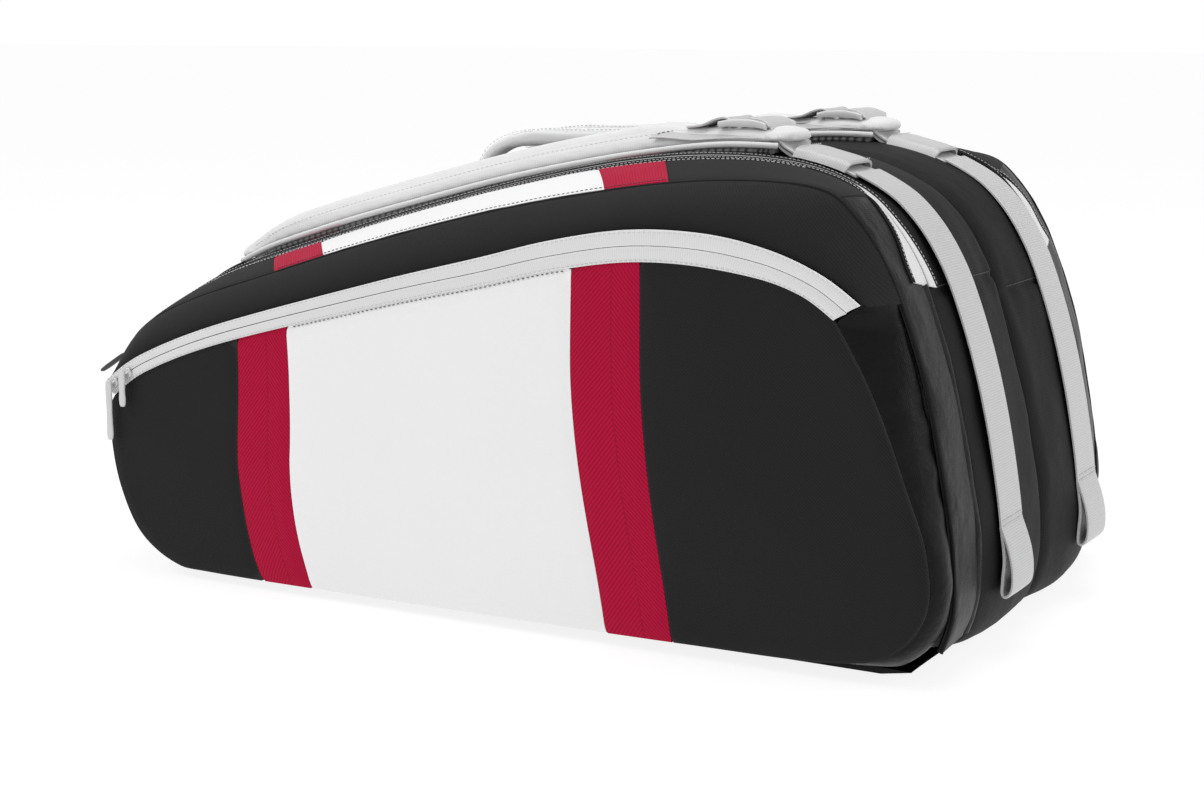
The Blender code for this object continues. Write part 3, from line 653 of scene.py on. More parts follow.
LOOKS = {
    "charcoal": woven("charcoal_twill", (0.0080, 0.0080, 0.0083), (0.0200, 0.0200, 0.0205), 0.80, 0.0026,
                      "twill",
                      0.00016, 0.02, 0.16, 0.35),
    "face": woven("face_twill", (0.0085, 0.0085, 0.0088), (0.0185, 0.0185, 0.0190), 0.80, 0.0024, "dots",
                  0.00010,
                  0.02, 0.18, 0.30),
    "coated": woven("coated_cloth", (0.0022, 0.0022, 0.0024), (0.0050, 0.0050, 0.0052), 0.42, 0.0018, "plain",
                    0.00008, 0.0, 0.15, 0.5, wrinkle=0.0045),
    "crown": woven("centre_cloth", (0.0060, 0.0060, 0.0062), (0.0120, 0.0120, 0.0124), 0.64, 0.0022, "plain",
                   0.00012, 0.0, 0.16, 0.45, wrinkle=0.0024),
    "lining": woven("lining_cloth", (0.03, 0.03, 0.031), (0.06, 0.06, 0.061), 0.7, 0.0030, "plain", 0.0001),
    "white": woven("white_panel_cloth", (0.80, 0.80, 0.805), (0.85, 0.85, 0.855), 0.42, 0.0016, "plain",
                   0.00005,
                   0.0, 0.35, 0.5, wrinkle=0.0008),
    "red": herringbone("red_tape", (0.27, 0.0002, 0.018), (0.50, 0.0006, 0.046), 0.0030, 0.050),
    "red_strip": woven("red_strip_cloth", (0.27, 0.0002, 0.018), (0.50, 0.0006, 0.046), 0.6, 0.0024, "rib",
                       0.0002,
                       0.0, 0.12),
    "tape": woven("zip_tape_cloth", (0.64, 0.64, 0.645), (0.74, 0.74, 0.745), 0.6, 0.0018, "rib", 0.00010),
    "webbing": woven("satin_webbing", (0.42, 0.42, 0.425), (0.56, 0.56, 0.565), 0.36, 0.0019, "rib", 0.00014,
                     0.05,
                     0.5, 0.2),
    "pad": woven("pad_cloth", (0.68, 0.68, 0.685), (0.76, 0.76, 0.765), 0.7, 0.0020, "plain", 0.00010, 0.1,
                 0.3,
                 0.3, object_space=True),
    "pad_cloth": woven("pad_trim", (0.66, 0.66, 0.665), (0.76, 0.76, 0.765), 0.7, 0.0020, "plain", 0.00010,
                       0.1),
    "net": netting("spacer_mesh"),
    "plastic": moulded("white_plastic", (0.56, 0.56, 0.565), (0.64, 0.64, 0.645), 0.25, 0.2),
    "metal": moulded("painted_metal", (0.55, 0.55, 0.555), (0.68, 0.68, 0.685), 0.30, 0.3, 0.3),
    "black": woven("binding_tape", (0.005, 0.005, 0.0053), (0.012, 0.012, 0.0125), 0.7, 0.0018, "rib",
                   0.00015),
    "coil": moulded("zip_coil", (0.30, 0.30, 0.31), (0.45, 0.45, 0.46), 0.35, 0.1),
    "thread": moulded("white_thread", (0.55, 0.55, 0.56), (0.70, 0.70, 0.71), 0.6, 0.0, 0.0, 0.0001),
    "dark_thread": moulded("grey_thread", (0.045, 0.045, 0.045), (0.09, 0.09, 0.09), 0.6, 0.0, 0.0, 0.0001),
    "cord": moulded("pull_cord", (0.02, 0.02, 0.02), (0.06, 0.06, 0.06), 0.6, 0.0, 0.0, 0.0002),
}


def done(obj, body, stands_for=()):
    """Hangs a piece on the body it rides on and hides the CAD nodes it stands for."""
    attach(obj, body)
    if stands_for:
        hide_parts(*stands_for)
    return obj


def sew(name, path, ups, thread, side, body, *sizes):
    """A stitch row that rides on a body; sizes are step, length, width and height."""
    done(stitches(name, path, ups, LOOKS[thread], side, *sizes), body)


# ---------------------------------------------------------------- centre halves
centre_line = catmull(CENTRE, 12)
centre_loop = np.concatenate([centre_line, np.linspace(centre_line[-1], centre_line[0], 60)[1:-1]])
centre_loop = even(np.concatenate([centre_loop, centre_loop[:1]]), 521)[:-1]
SEAM_Z = (0.262, 0.249)      # cross seams of the near and the far half at the wide end


def crown_of(y):
    """How far the padded gusset stands proud of its outline at depth y."""
    return 0.0022 * np.clip(1 - ((y - 0.069) / 0.049) ** 2, 0, 1)


def centre_half(word, side, seam_z):
    loop = centre_loop
    nrm = normals(loop, True)
    core = np.array([0.0, 0.155])
    profile = []
    for a in np.linspace(0, math.pi / 2, 8):
        profile.append((-0.0120 * (1 - math.sin(a)), 0.0004 + 0.0200 * (1 - math.cos(a)), 1.0))
    for y in np.linspace(0.028, 0.114, 12):
        profile.append((float(crown_of(y)), y, 1.0))
    profile += [(-0.0002, 0.1195, 1.0), (-0.0010, 0.1250, 1.0), (-0.0022, 0.1300, 1.0),
                (-0.0034, 0.1338, 1.0),
                (-0.0046, 0.1352, 1.0), (-0.0062, 0.1353, 0.0), (-0.0074, 0.1338, 0.0),
                (-0.0076, 0.1200, 0.0),
                (-0.0076, 0.0800, 0.0), (-0.0076, 0.0400, 0.0), (-0.0085, 0.0260, 0.0),
                (-0.0120, 0.0225, 0.0)]
    rings = []
    wide = smooth((loop[:, 0] - 0.235) / 0.05) * smooth((0.33 - loop[:, 1]) / 0.02) * smooth(loop[:,
                                                                                                  1] / 0.03)
    narrow = smooth((-0.36 - loop[:, 0]) / 0.03) * smooth(loop[:, 1] / 0.03)
    for off, y, outer in profile:
        d = np.full(len(loop), off)
        if outer:
            at = np.stack([loop[:, 0], np.full(len(loop), y * 1.6), loop[:, 1]], 1)
            soft = ripple(at, 17.0, 2 + side) * 0.0016 + ripple(at, 46.0, 5 + side) * 0.0006
            d = d + soft * (0.25 + 0.75 * np.maximum(wide, narrow))
            dz = loop[:, 1] - seam_z
            bite = np.where(loop[:, 0] > 0.2, np.exp(-(dz / 0.0030) ** 2), 0)
            pinch = np.exp(-(dz / 0.022) ** 2) * np.sin(y * 210 + side) * np.where(loop[:, 0] > 0.2, 1, 0)
            d = d - bite * 0.0022 + pinch * 0.0009
        ring = loop + nrm * d[:, None]
        ring[:, 1] = np.maximum(ring[:, 1], 0.0 if outer else 0.0042)
        rings.append(lift_xz(ring, y))
    inner_caps = [core + (rings[-1][:, [0, 2]] - core) * s for s in (0.8, 0.5, 0.2)]
    outer_caps = [core + (rings[0][:, [0, 2]] - core) * s for s in (0.2, 0.5, 0.8)]
    rings = ([lift_xz(c, rings[0][0, 1]) for c in outer_caps] + rings
             + [lift_xz(c, rings[-1][0, 1] - 0.0006) for c in inner_caps])
    grid = np.array(rings)
    along = lengths(loop)
    cloth = np.zeros(grid.shape)
    cloth[..., 0] = along[None]
    cloth[..., 1] = grid[..., 1]
    cloth[..., 2] = FAR_FROM_EDGE
    obj = sweep(word + "_centre_shell", grid, LOOKS["crown"], side, cap="fan", cloth=cloth)
    done(obj, "centre", [word + "_centre_half"])

    run = between(centre_line, 0.0, 1.0, 700)
    up = normals(run)
    i = int(np.argmax((run[:, 0] > 0.2) & (run[:, 1] < seam_z + 0.004)))
    ys = np.linspace(0.012, 0.128, 40)
    p, n = run[i], up[i]
    q = p[None] + n[None] * (crown_of(ys)[:, None] - 0.0002 - 0.009 * (np.clip(0.016 - ys, 0, 1) / 0.016)[:,
                                                                                                          None])
    line = np.stack([q[:, 0], ys, q[:, 1]], 1)
    ups = np.tile([n[0], 0, n[1]], (len(ys), 1))
    sew(word + "_centre_seam_stitches", line, ups, "dark_thread", side, "centre", 0.0034)

    base = [(-0.338, 0.0004), (0.290, 0.0004), (0.312, 0.0062), (0.298, 0.0054), (-0.338, 0.0054),
            (-0.366, 0.0104)]
    ys = np.linspace(0.1300, 0.1975, 9)
    ring = even(np.array(base + base[:1]), 60)[:-1]
    mid = ring.mean(0)
    rows = []
    for k, y in enumerate(ys):
        squeeze = 1.0 - 0.10 * (abs(k - 4) / 4) ** 4
        rows.append(lift_xz(np.stack([ring[:, 0], 0.0005 + (ring[:, 1] - 0.0004) * squeeze], 1), y))
    sill = sweep(word + "_base_sill", np.array(rows), LOOKS["coated"], side, cap="fan")
    done(sill, "centre")


# ---------------------------------------------------------------- lids
STEPS = 18
edge_in = catmull(LID_TOP_EDGE, STEPS)
edge_out = catmull(LID_FOLD, STEPS)
edge_up = normals(edge_in + edge_out)


def spots(low, high):
    """Point numbers along the lid band between two places."""
    at = np.arange(math.ceil(low), math.floor(high) + 1).astype(float)
    return np.unique(np.concatenate([[low], at, [high]]))


def band_surface(at, t, lift=0.0):
    """Points of the lid band at places at along it and shares t across it, from zip to fold."""
    index = np.arange(len(edge_in))

    def pick(path):
        return np.stack([np.interp(at, index, path[:, k]) for k in range(2)], 1)

    a, b, n = pick(edge_in), pick(edge_out), pick(edge_up)
    t = np.atleast_2d(np.asarray(t, float))
    xz = a[:, None] * (1 - t[..., None]) + b[:, None] * t[..., None]
    bulge = np.sin(np.pi * np.clip(t, 0, 1))
    crown = 0.0016 * bulge ** 0.7 - 0.0014 * np.exp(-(t / 0.05) ** 2) - 0.0008 * np.exp(-((1 - t) / 0.05) ** 2)
    y = LID_INNER + (LID_SEAM - LID_INNER) * t + 0 * xz[..., 0]
    pts = lift_grid(xz, y)
    wide = smooth((pts[..., 0] - 0.24) / 0.05) * smooth((0.33 - pts[..., 2]) / 0.03)
    wave = ripple(pts * (1, 0.55, 1), 19.0, 11) * 0.0036 + ripple(pts, 42.0, 12) * 0.0010
    small = ripple(pts, 30.0, 13) * 0.0005
    d = crown + (wave * wide + small) * bulge ** 0.6 + lift
    return pts + np.stack([n[:, None, 0] * d, 0 * d, n[:, None, 1] * d], 2), n


def place_of(path, x):
    i = int(np.argmax(path[:, 0] > x))
    return i - 1 + (x - path[i - 1, 0]) / (path[i, 0] - path[i - 1, 0])


def place_of_z(path, z):
    """The place on the wide end where the path comes down to z."""
    i = int(np.argmax((path[:, 0] > 0.2) & (path[:, 1] < z)))
    return i - 1 + (path[i - 1, 1] - z) / (path[i - 1, 1] - path[i, 1])


def wedge(at):
    """Share of the main zip's full visible width: closed up along the top, opening out to its square end."""
    end = place_of_z(edge_in, ZIP_END_Z)
    start = place_of(edge_in, 0.232)
    return np.clip((at - start) / (end - start), 0, 1) ** 1.15


def lid(word, side):
    body = word + "_lid"
    last = len(edge_in) - 1.0
    t = np.concatenate([[0, 0.03, 0.07], np.linspace(0.12, 0.88, 12), [0.93, 0.97, 1.0]])
    outer, n = band_surface(spots(0.0, last), t)
    inward = -upright(n)[:, None]
    band = slab(word + "_lid_band_cloth", outer, 0.0038, LOOKS["coated"], side, inward)
    done(band, body, [word + "_lid_band"])

    # coloured pieces of the top strip, with their sewn edges
    names = (("narrow_dark", "charcoal", None), ("red_narrow", "red_strip", "red_webbing"),
             ("white", "white", "white_panel"), ("red_wide", "red_strip", "red_webbing"),
             ("wide_dark", "charcoal", None))
    cuts = [place_of(edge_out, -0.372)] + [place_of(edge_out, x) for x in STRIP_CUTS] + [place_of(edge_out,
                                                                                                  0.246)]
    t = np.concatenate([[0.05, 0.065, 0.09], np.linspace(0.13, 0.87, 10), [0.92, 0.95, 0.97]])
    for i, (label, look, slot) in enumerate(names):
        at = spots(cuts[i] + 0.02, cuts[i + 1] - 0.02)
        skew = [STRIP_SKEW if 0 < i else 0.0, STRIP_SKEW if i < 4 else 0.0]
        slant = skew[0] + (skew[1] - skew[0]) * (at - at[0]) / (at[-1] - at[0])
        rows = [band_surface(at - (1 - v) * slant, [v], 0.0010 if slot else 0.0007) for v in t]
        outer = np.concatenate([r[0] for r in rows], 1)
        n = rows[-1][1]
        dip = np.minimum(np.arange(len(outer)), np.arange(len(outer))[::-1])
        drop = 0.0006 * np.exp(-dip / 0.7)
        outer = outer - np.stack([n[:, 0] * drop, 0 * drop, n[:, 1] * drop], 1)[:, None]
        inward = -upright(n)[:, None]
        obj = slab(word + "_strip_" + label, outer, 0.0009, LOOKS[look], side, inward)
        stands = [word + "_lid_strip_" + label] if slot else []
        done(obj, body, stands)

    lo = place_of(edge_in, -0.400)
    for label, t_at, look, first, end, lift in (("ridge", 0.105, "thread", lo, place_of(edge_in, 0.20),
                                                 0.0012),
                                                ("seam", 0.935, "dark_thread", cuts[1], cuts[4], 0.0011)):
        line, n = band_surface(spots(first, end), [t_at, t_at + 0.01], lift)
        ups = upright(n)
        sew(f"{word}_{label}_stitches", line[:, 0], ups, look, side, body, 0.0040, 0.0028, 0.0006)

    # inner panel of the lid, seen when the lid or the pocket is open
    back = offset(even(edge_out, 220), -0.0050)
    back[:, 1] = np.maximum(back[:, 1], 0.0128)
    obj = panel(word + "_lid_lining", back, lambda p, d: 0.1955 + 0.0034 * smooth(d / 0.006), 0.1952,
                LOOKS["lining"], side, 0.012)
    done(obj, body, [word + "_lid_panel"])


arch = even(catmull(ARCH, 16), 170)
arch_run = lengths(arch) / lengths(arch)[-1]
arch_half = 0.0070 + 0.0045 * smooth(arch_run * 1.15)


def ended(path, end):
    """The path with its last stretch eased over to a new end."""
    return path + smooth((arch_run - 0.84) / 0.16)[:, None] * (np.array(end) - path[-1])


arch_top = ended(offset(arch, arch_half), (0.2765, 0.2632))
arch_low = ended(offset(arch, -arch_half), (0.2575, 0.2520))
arch_mid = (arch_top + arch_low) / 2


def face_depth(t):
    """Depth of the upper face from its seam to the pocket zip: it swells quickly and then lies flat."""
    return FACE_BACK + (FACE_FRONT - FACE_BACK) * np.sin(np.pi / 2 * np.clip(t, 0, 1) ** 0.92) ** 0.9


def face(word, side):
    body = word + "_lid"
    fold = even(edge_out, 700)
    start = share_at(fold, lambda x, z: z > 0.158)
    end = share_at(fold, lambda x, z: x > 0.2 and z < 0.262)
    n = 240
    rim = between(fold, start, end, n)
    line = even(arch_top, n)
    t = np.concatenate([[0, 0.02, 0.05], np.linspace(0.09, 0.94, 20), [0.97, 1.0]])
    xz = loft(rim, line, t)
    y = face_depth(t)[None] + 0 * xz[..., 0]
    pts = lift_grid(xz, y)
    live = np.sin(np.pi * t)[None] ** 0.7
    ends = smooth((pts[..., 0] + 0.39) / 0.06)
    y2 = y + ripple(pts, 7.0, 21) * 0.0020 * live + ripple(pts, 26.0, 22) * 0.0004 * live * ends
    pts[..., 1] = y2 - 0.0012 * np.exp(-(t[None] / 0.03) ** 2)
    cloth = np.stack([pts[..., 0], pts[..., 2], np.minimum(t, 1 - t)[None] * 0.06 + 0 * y], 2)
    obj = slab(word + "_upper_face_cloth", pts, 0.0024, LOOKS["face"], side, np.array([0, -1.0, 0]), cloth)
    done(obj, body, [word + "_upper_face"])

    # welt along the whole fold of the lid
    seam = offset(fold, -0.0004)
    run = lift_xz(seam, LID_SEAM + 0.0003)
    up = normals(seam)
    ups = np.stack([up[:, 0], 0 * up[:, 0] + 0.8, up[:, 1]], 1)
    wob = 0.0013 + 0.0004 * ripple(run, 60.0, 31)
    done(tube(word + "_fold_welt", run, ups, wob, LOOKS["charcoal"], side, 7), body)

    # gusset of the pocket
    n = 330
    outer = even(catmull(POCKET_FOLD, 12), n)
    edge = even(np.concatenate([catmull(FLAP_EDGE, 12), arch_top[-1:] + (0.0002, -0.0006)]), n)
    out = -normals(outer)
    t = np.concatenate([[0, 0.04, 0.1], np.linspace(0.18, 0.88, 9), [0.95, 1.0]])
    xz = loft(outer, edge, t)
    y = FACE_BACK + 0.0002 + (FACE_FRONT - FACE_BACK) * t[None] + 0 * xz[..., 0]
    pts = lift_grid(xz, y)
    wide = smooth((pts[..., 0] - 0.26) / 0.05)
    live = np.sin(np.pi * t)[None] ** 0.7
    low = smooth(pts[..., 2] / 0.06)
    swell = (0.0010 + 0.0034 * wide + 0.0018 * low) * live
    pucker = ripple(pts * (1, 0.35, 1), 52.0, 41) * 0.0021 * wide * np.exp(-((t[None] - 0.12) / 0.25) ** 2)
    pucker = pucker + ripple(pts * (1, 0.5, 1), 24.0, 42) * 0.0022 * wide * live
    d = swell + pucker
    pts = pts + np.stack([out[:, None, 0] * d, 0.35 * d, out[:, None, 1] * d], 2)
    pts[..., 2] = np.maximum(pts[..., 2], 0.0062)
    inward = -upright(out)[:, None]
    obj = slab(word + "_pocket_gusset_cloth", pts, 0.0022, LOOKS["coated"], side, inward)
    done(obj, body, [word + "_pocket_gusset"])


def band_on_arch(word, label, inner, outer, body, node, side):
    """One white zip tape of the pocket, domed, with its ribs across it."""
    t = np.linspace(0, 1, 9)
    xz = loft(inner, outer, t)
    swell = 0.0017 * np.sin(np.pi * np.clip(t * 0.92 + 0.04, 0, 1)) ** 0.6
    y = FLAP_BACK + 0.0032 + swell[None] + 0 * xz[..., 0]
    pts = lift_grid(xz, y)
    obj = slab(f"{word}_pocket_tape_{label}", pts, 0.0016, LOOKS["tape"], side, np.array([0, -1.0, 0]))
    done(obj, body, [node])
    line = inner * 0.12 + outer * 0.88
    ups = np.tile([0.0, 1.0, 0.0], (len(line), 1))
    path = lift_xz(line, FLAP_BACK + 0.0032 + 0.0012)
    sew(f"{word}_pocket_tape_{label}_stitches", path, ups, "thread", side, body, 0.0040, 0.0028, 0.0006)
    sign = 1.0 if label == "upper" else -1.0
    middle = lift_xz(offset(arch_mid, sign * 0.0017), FLAP_BACK + 0.0026)
    done(teeth(f"{word}_pocket_teeth_{label}", middle, ups, LOOKS["coil"], side, 0.0026, 0.0019, sign), body)


full_edge = np.concatenate([even(catmull(FLAP_EDGE, 12), 300), arch_low[::-1]])


def flap_front(points, d):
    """Depth of the flap's surface: padded and full in the middle, turned in along each seam."""
    out = edge_distance(points, full_edge)
    at = np.stack([points[:, 0], np.zeros(len(points)), points[:, 1]], 1)
    fold = ripple(at, 6.0, 51) * 0.0016 + ripple(at * (1, 1, 0.5), 17.0, 52) * 0.0007
    swell = 0.0062 * smooth(out / 0.13)
    turn = 0.0011 * (1 - smooth(d / 0.0042)) + 0.0012 * (1 - smooth(out / 0.006))
    return FLAP_FRONT + swell + fold * smooth(out / 0.05) - turn


def flap(word, side):
    body = word + "_flap"
    bottom = even(catmull(FLAP_EDGE, 12), 900)
    top = even(arch_low, 500)
    curves = [np.array(c)[::-1] for c in RED_EDGES]

    def cross(path, curve):
        x = np.interp(path[:, 1], curve[:, 1], curve[:, 0])
        return int(np.argmax(path[:, 0] > x))

    def line(curve, z_low, z_high, gap):
        z = np.linspace(z_low, z_high, 60)
        smooth_line = catmull(curve, 8)
        return np.stack([np.interp(z, smooth_line[:, 1], smooth_line[:, 0]) + gap, z], 1)

    names = (("narrow", "charcoal", "charcoal_fabric"), ("red_narrow", "red", "red_webbing"),
             ("white", "white", "white_panel"), ("red_wide", "red", "red_webbing"),
             ("wide", "charcoal", "charcoal_fabric"))
    for i, (label, look, slot) in enumerate(names):
        left = curves[i - 1] if i else None
        right = curves[i] if i < 4 else None
        b0 = cross(bottom, left) if i else 0
        b1 = cross(bottom, right) if i < 4 else len(bottom)
        t0 = cross(top, left) if i else 0
        t1 = cross(top, right) if i < 4 else len(top)
        outline = [bottom[b0:b1]]
        if right is not None:
            outline.append(line(right, bottom[b1 - 1, 1], top[t1 - 1, 1], -0.0002)[1:-1])
        outline.append(top[t0:t1][::-1])
        if left is not None:
            outline.append(line(left, top[t0, 1], bottom[b0, 1], 0.0002)[1:-1])
        outline = np.concatenate(outline)

        def cloth(p, d, left=left, right=right):
            if left is None or right is None:
                return np.stack([p[:, 0], p[:, 1], d], 1)
            lo = np.interp(p[:, 1], left[:, 1], left[:, 0])
            hi = np.interp(p[:, 1], right[:, 1], right[:, 0])
            return np.stack([p[:, 1], (p[:, 0] - lo) / (hi - lo) * 0.050, d], 1)

        if label == "white":
            cloth = None
        obj = panel(f"{word}_flap_{label}_cloth", outline, flap_front, FLAP_BACK + 0.0002, LOOKS[look], side,
                    0.0050 if side < 0 else 0.0065, cloth)
        done(obj, body, [f"{word}_flap_{label}"])
    t0, t1 = cross(top, curves[1]), cross(top, curves[2])
    row = offset(top[t0 + 3:t1 - 3], -0.0014)
    d = edge_distance(row, full_edge)
    path = lift_xz(row, flap_front(row, d) + 0.0006)
    ups = np.tile([0.0, 1.0, 0.0], (len(row), 1))
    sew(word + "_white_panel_stitches", path, ups, "dark_thread", side, body, 0.0042, 0.0026, 0.0007)


# ---------------------------------------------------------------- main zip and the gusset below it
def zip_points(at, y, lift):
    """Points on top of the lid band or the centre's edge, at places at and depths y (n, m)."""
    t = (y - LID_INNER) / (LID_SEAM - LID_INNER)
    pts, n = band_surface(at, t, lift)
    pts[..., 1] = y
    return pts, n


def main_zip(word, side):
    lo = place_of_z(edge_in, ZIP_END_Z)
    at = spots(float(np.argmax(edge_in[:, 1] > 0.050)), lo)
    share = wedge(at)
    for label, sign, body, node, spread in (("inner", -1.0, "centre", "_main_zip_inner", 0.0092),
                                            ("outer", 1.0, word + "_lid", "_main_zip_outer", 0.0250)):
        half = 0.0006 + spread * share
        f = np.concatenate([[0.0, 0.03, 0.07], np.linspace(0.12, 1.0, 22)])
        dip = 0.0010 * np.exp(-f / 0.06)
        y = ZIP_MIDDLE + sign * (0.0005 + (half[:, None] + 0.0020) * f)
        pts, n = zip_points(at, y, 0.0013 - dip + (0.0004 if sign < 0 else 0.0) * share[:, None])
        ups = upright(n)
        tape = slab(f"{word}_main_tape_{label}", pts, 0.0012, LOOKS["tape"], side, -ups[:, None])
        done(tape, body, [word + node])
        f = np.array([0.0, 0.12, 0.4, 0.7, 0.9, 1.0])
        rise = np.array([0.0010, 0.0018, 0.0020, 0.0020, 0.0016, 0.0004])
        y = ZIP_MIDDLE + sign * (half[:, None] + 0.0002 + 0.0044 * f)
        pts, n = zip_points(at, y, rise)
        bind = slab(f"{word}_zip_binding_{label}", pts, 0.0012, LOOKS["black"], side, -ups[:, None])
        done(bind, body)
        path, n = zip_points(at, ZIP_MIDDLE + sign * (half[:, None] + 0.0030), 0.0019)
        sew(f"{word}_zip_stitches_{label}", path[:, 0], ups, "thread", side, body, 0.0034, 0.0026, 0.0005,
            0.0003)
        path, n = zip_points(at, np.full((len(at), 1), ZIP_MIDDLE + sign * 0.0015), -0.0004)
        done(teeth(f"{word}_main_teeth_{label}", path[:, 0], ups, LOOKS["coil"], side, 0.0022, 0.0016, -sign),
             body)

    # cloth that joins the lid to the centre below the ends of the zip
    shoulder = even(offset(centre_line, -0.0040), 900)
    for label, test_a, test_b, nodes in (
            ("wide", lambda x, z: x > 0.1 and z < ZIP_END_Z + 0.001, lambda x, z: x > 0.1 and z < 0.024,
             [word + "_wide_gusset"]),
            ("narrow", lambda x, z: z > 0.030, lambda x, z: z > 0.052, [])):
        n = 120 if label == "wide" else 24
        a = between(shoulder, share_at(shoulder, test_a), share_at(shoulder, test_b), n)
        fine = even(edge_in, 900)
        b = between(fine, share_at(fine, test_a), share_at(fine, test_b), n)
        t = np.linspace(0, 1, 15)
        y = 0.1290 + (0.1530 - 0.1290) * t
        rise = -0.0026 + 0.0046 * np.sin(np.pi * t) ** 0.55
        rise = rise[None] * np.ones((n, 1))
        at3 = np.stack([a[:, None, 0] + 0 * t[None], y[None] + 0 * a[:, :1], a[:, None, 1] + 0 * t[None]], 2)
        rise = rise + ripple(at3 * (1, 0.8, 1), 24.0, 61) * 0.0012 * np.sin(np.pi * t)[None]
        mix = smooth((y - 0.1355) / (0.1465 - 0.1355))
        xz = loft(a, b, mix)
        nrm = normals(a)
        xz = xz + nrm[:, None] * rise[..., None]
        pts = lift_grid(xz, y[None] + 0 * xz[..., 0])
        inward = -upright(nrm)[:, None]
        obj = slab(f"{word}_{label}_gusset_cloth", pts, 0.0012, LOOKS["coated"], side, inward)
        if nodes:
            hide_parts(*nodes)
        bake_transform(obj)


# ---------------------------------------------------------------- sliders and pulls
def slider(word, which, spot, lean, y_0, pull_long, side):
    """A pocket slider with its bridge, and a pull that hangs from it."""
    label, node, pull_node = "slider_" + which, "pocket_slider_" + which, "pocket_pull_" + which
    c, s = math.cos(lean), math.sin(lean)

    def place(a, b, y):
        return (spot[0] + c * a - s * b, y, spot[1] + s * a + c * b)

    outline = [(-0.0058, -0.0026), (-0.0048, -0.0038), (0.0030, -0.0042), (0.0058, -0.0026), (0.0058, 0.0026),
               (0.0030, 0.0042), (-0.0048, 0.0038), (-0.0058, 0.0026)]
    rows = []
    for shrink, y in ((0.88, 0.0), (1.0, 0.0004), (1.0, 0.0017), (0.88, 0.0022), (0.55, 0.0023)):
        rows.append([place(a * shrink, b * shrink, y_0 + y) for a, b in outline])
    obj = sweep(f"{word}_{label}_plate", np.array(rows), LOOKS["metal"], side, cap="fan")
    done(obj, word + "_" + node, [word + "_" + node])
    bridge = np.array([place(a, 0.0, y_0 + y) for a, y in ((-0.0042, 0.0020), (-0.0036, 0.0036),
                                                           (-0.0015, 0.0045),
                                                          (0.0015, 0.0045), (0.0036, 0.0036),
                                                          (0.0042, 0.0020))])
    bridge = even(bridge, 14)
    ups = np.tile([0.0, 1.0, 0.0], (len(bridge), 1)) + 0.001
    done(tube(f"{word}_{label}_bridge", bridge, ups, 0.0010, LOOKS["metal"], side), word + "_" + node)
    y_1 = y_0 + 0.0052
    w = 0.0034
    path = [(0.003, w * 0.55), (0.0015, w * 0.9), (-0.004, w), (-pull_long * 0.5, w * 0.82),
            (-pull_long + 0.006, w),
            (-pull_long + 0.002, w * 0.9), (-pull_long, w * 0.55)]
    path = even(np.array(path), 30)
    rows = []
    for z, half in path:
        ring = []
        for k in range(12):
            ang = 2 * math.pi * k / 12
            x = half * squared(math.cos(ang), 0.6)
            y = 0.0011 * squared(math.sin(ang), 0.7)
            ring.append((spot[0] + x, y_1 + 0.0011 + y, spot[1] + z))
        rows.append(ring)
    pull = sweep(f"{word}_{label}_pull_tab", np.array(rows), LOOKS["plastic"], side, cap="fan")
    done(pull, word + "_" + pull_node, [word + "_" + pull_node])


def main_pull(word, side):
    """The main zip's slider and its long stiff pull, which stands out from the narrow end."""
    path = even(catmull(LID_TOP_EDGE, 40), 2000)
    i = int(np.argmax(path[:, 1] > 0.186))
    spot = path[i]
    way = _unit(path[i + 3] - path[i - 3])
    out = np.array([-way[1], way[0]])
    y_0, y_1 = 0.1412, 0.1496
    rows = []
    for f, w, shrink in ((0.0006, 0.0058, 0.9), (0.0010, 0.0062, 1.0), (0.0034, 0.0060, 1.0),
                         (0.0046, 0.0052, 0.9),
                         (0.0050, 0.0040, 0.7)):
        ring = []
        for a, b in ((-1, -0.7), (-0.8, -1), (0.8, -1), (1, -0.7), (1, 0.7), (0.8, 1), (-0.8, 1), (-1, 0.7)):
            p = spot + out * f + way * a * w
            y = (y_0 + y_1) / 2 + b * shrink * (y_1 - y_0) / 2
            ring.append((p[0], y, p[1]))
        rows.append(ring)
    obj = sweep(word + "_main_slider_body", np.array(rows), LOOKS["metal"], side, cap="fan")
    done(obj, word + "_main_slider", [word + "_main_slider"])
    hook = spot + out * 0.0075
    along = _unit(np.array([-0.85, -0.53]))
    across = np.array([-along[1], along[0]])
    mid = (y_0 + y_1) / 2
    ring_path = []
    for k in range(25):
        ang = 2 * math.pi * k / 24
        p = hook + along * (0.0015 + 0.0035 * math.cos(ang))
        ring_path.append((p[0], mid + 0.0034 * math.sin(ang), p[1]))
    ring_path = np.array(ring_path)
    ups = np.tile([across[0], 0, across[1]], (25, 1))
    done(tube(word + "_main_pull_ring", ring_path[:-1], ups[:-1], 0.0009, LOOKS["metal"], side),
         word + "_main_pull")
    rows = []
    for f, half, thick in ((0.001, 0.0020, 0.0010), (0.006, 0.0030, 0.0014), (0.020, 0.0032, 0.0013),
                           (0.046, 0.0030, 0.0013), (0.050, 0.0038, 0.0019), (0.070, 0.0040, 0.0020),
                           (0.077, 0.0034, 0.0016), (0.0785, 0.0022, 0.0009)):
        ring = []
        p = hook + along * f
        for k in range(12):
            ang = 2 * math.pi * k / 12
            q = p + across * thick * math.sin(ang)
            ring.append((q[0], mid + half * math.cos(ang), q[1]))
        rows.append(ring)
    tab = sweep(word + "_main_pull_cord", np.array(rows), LOOKS["cord"], side, cap="fan")
    done(tab, word + "_main_pull", [word + "_main_pull"])


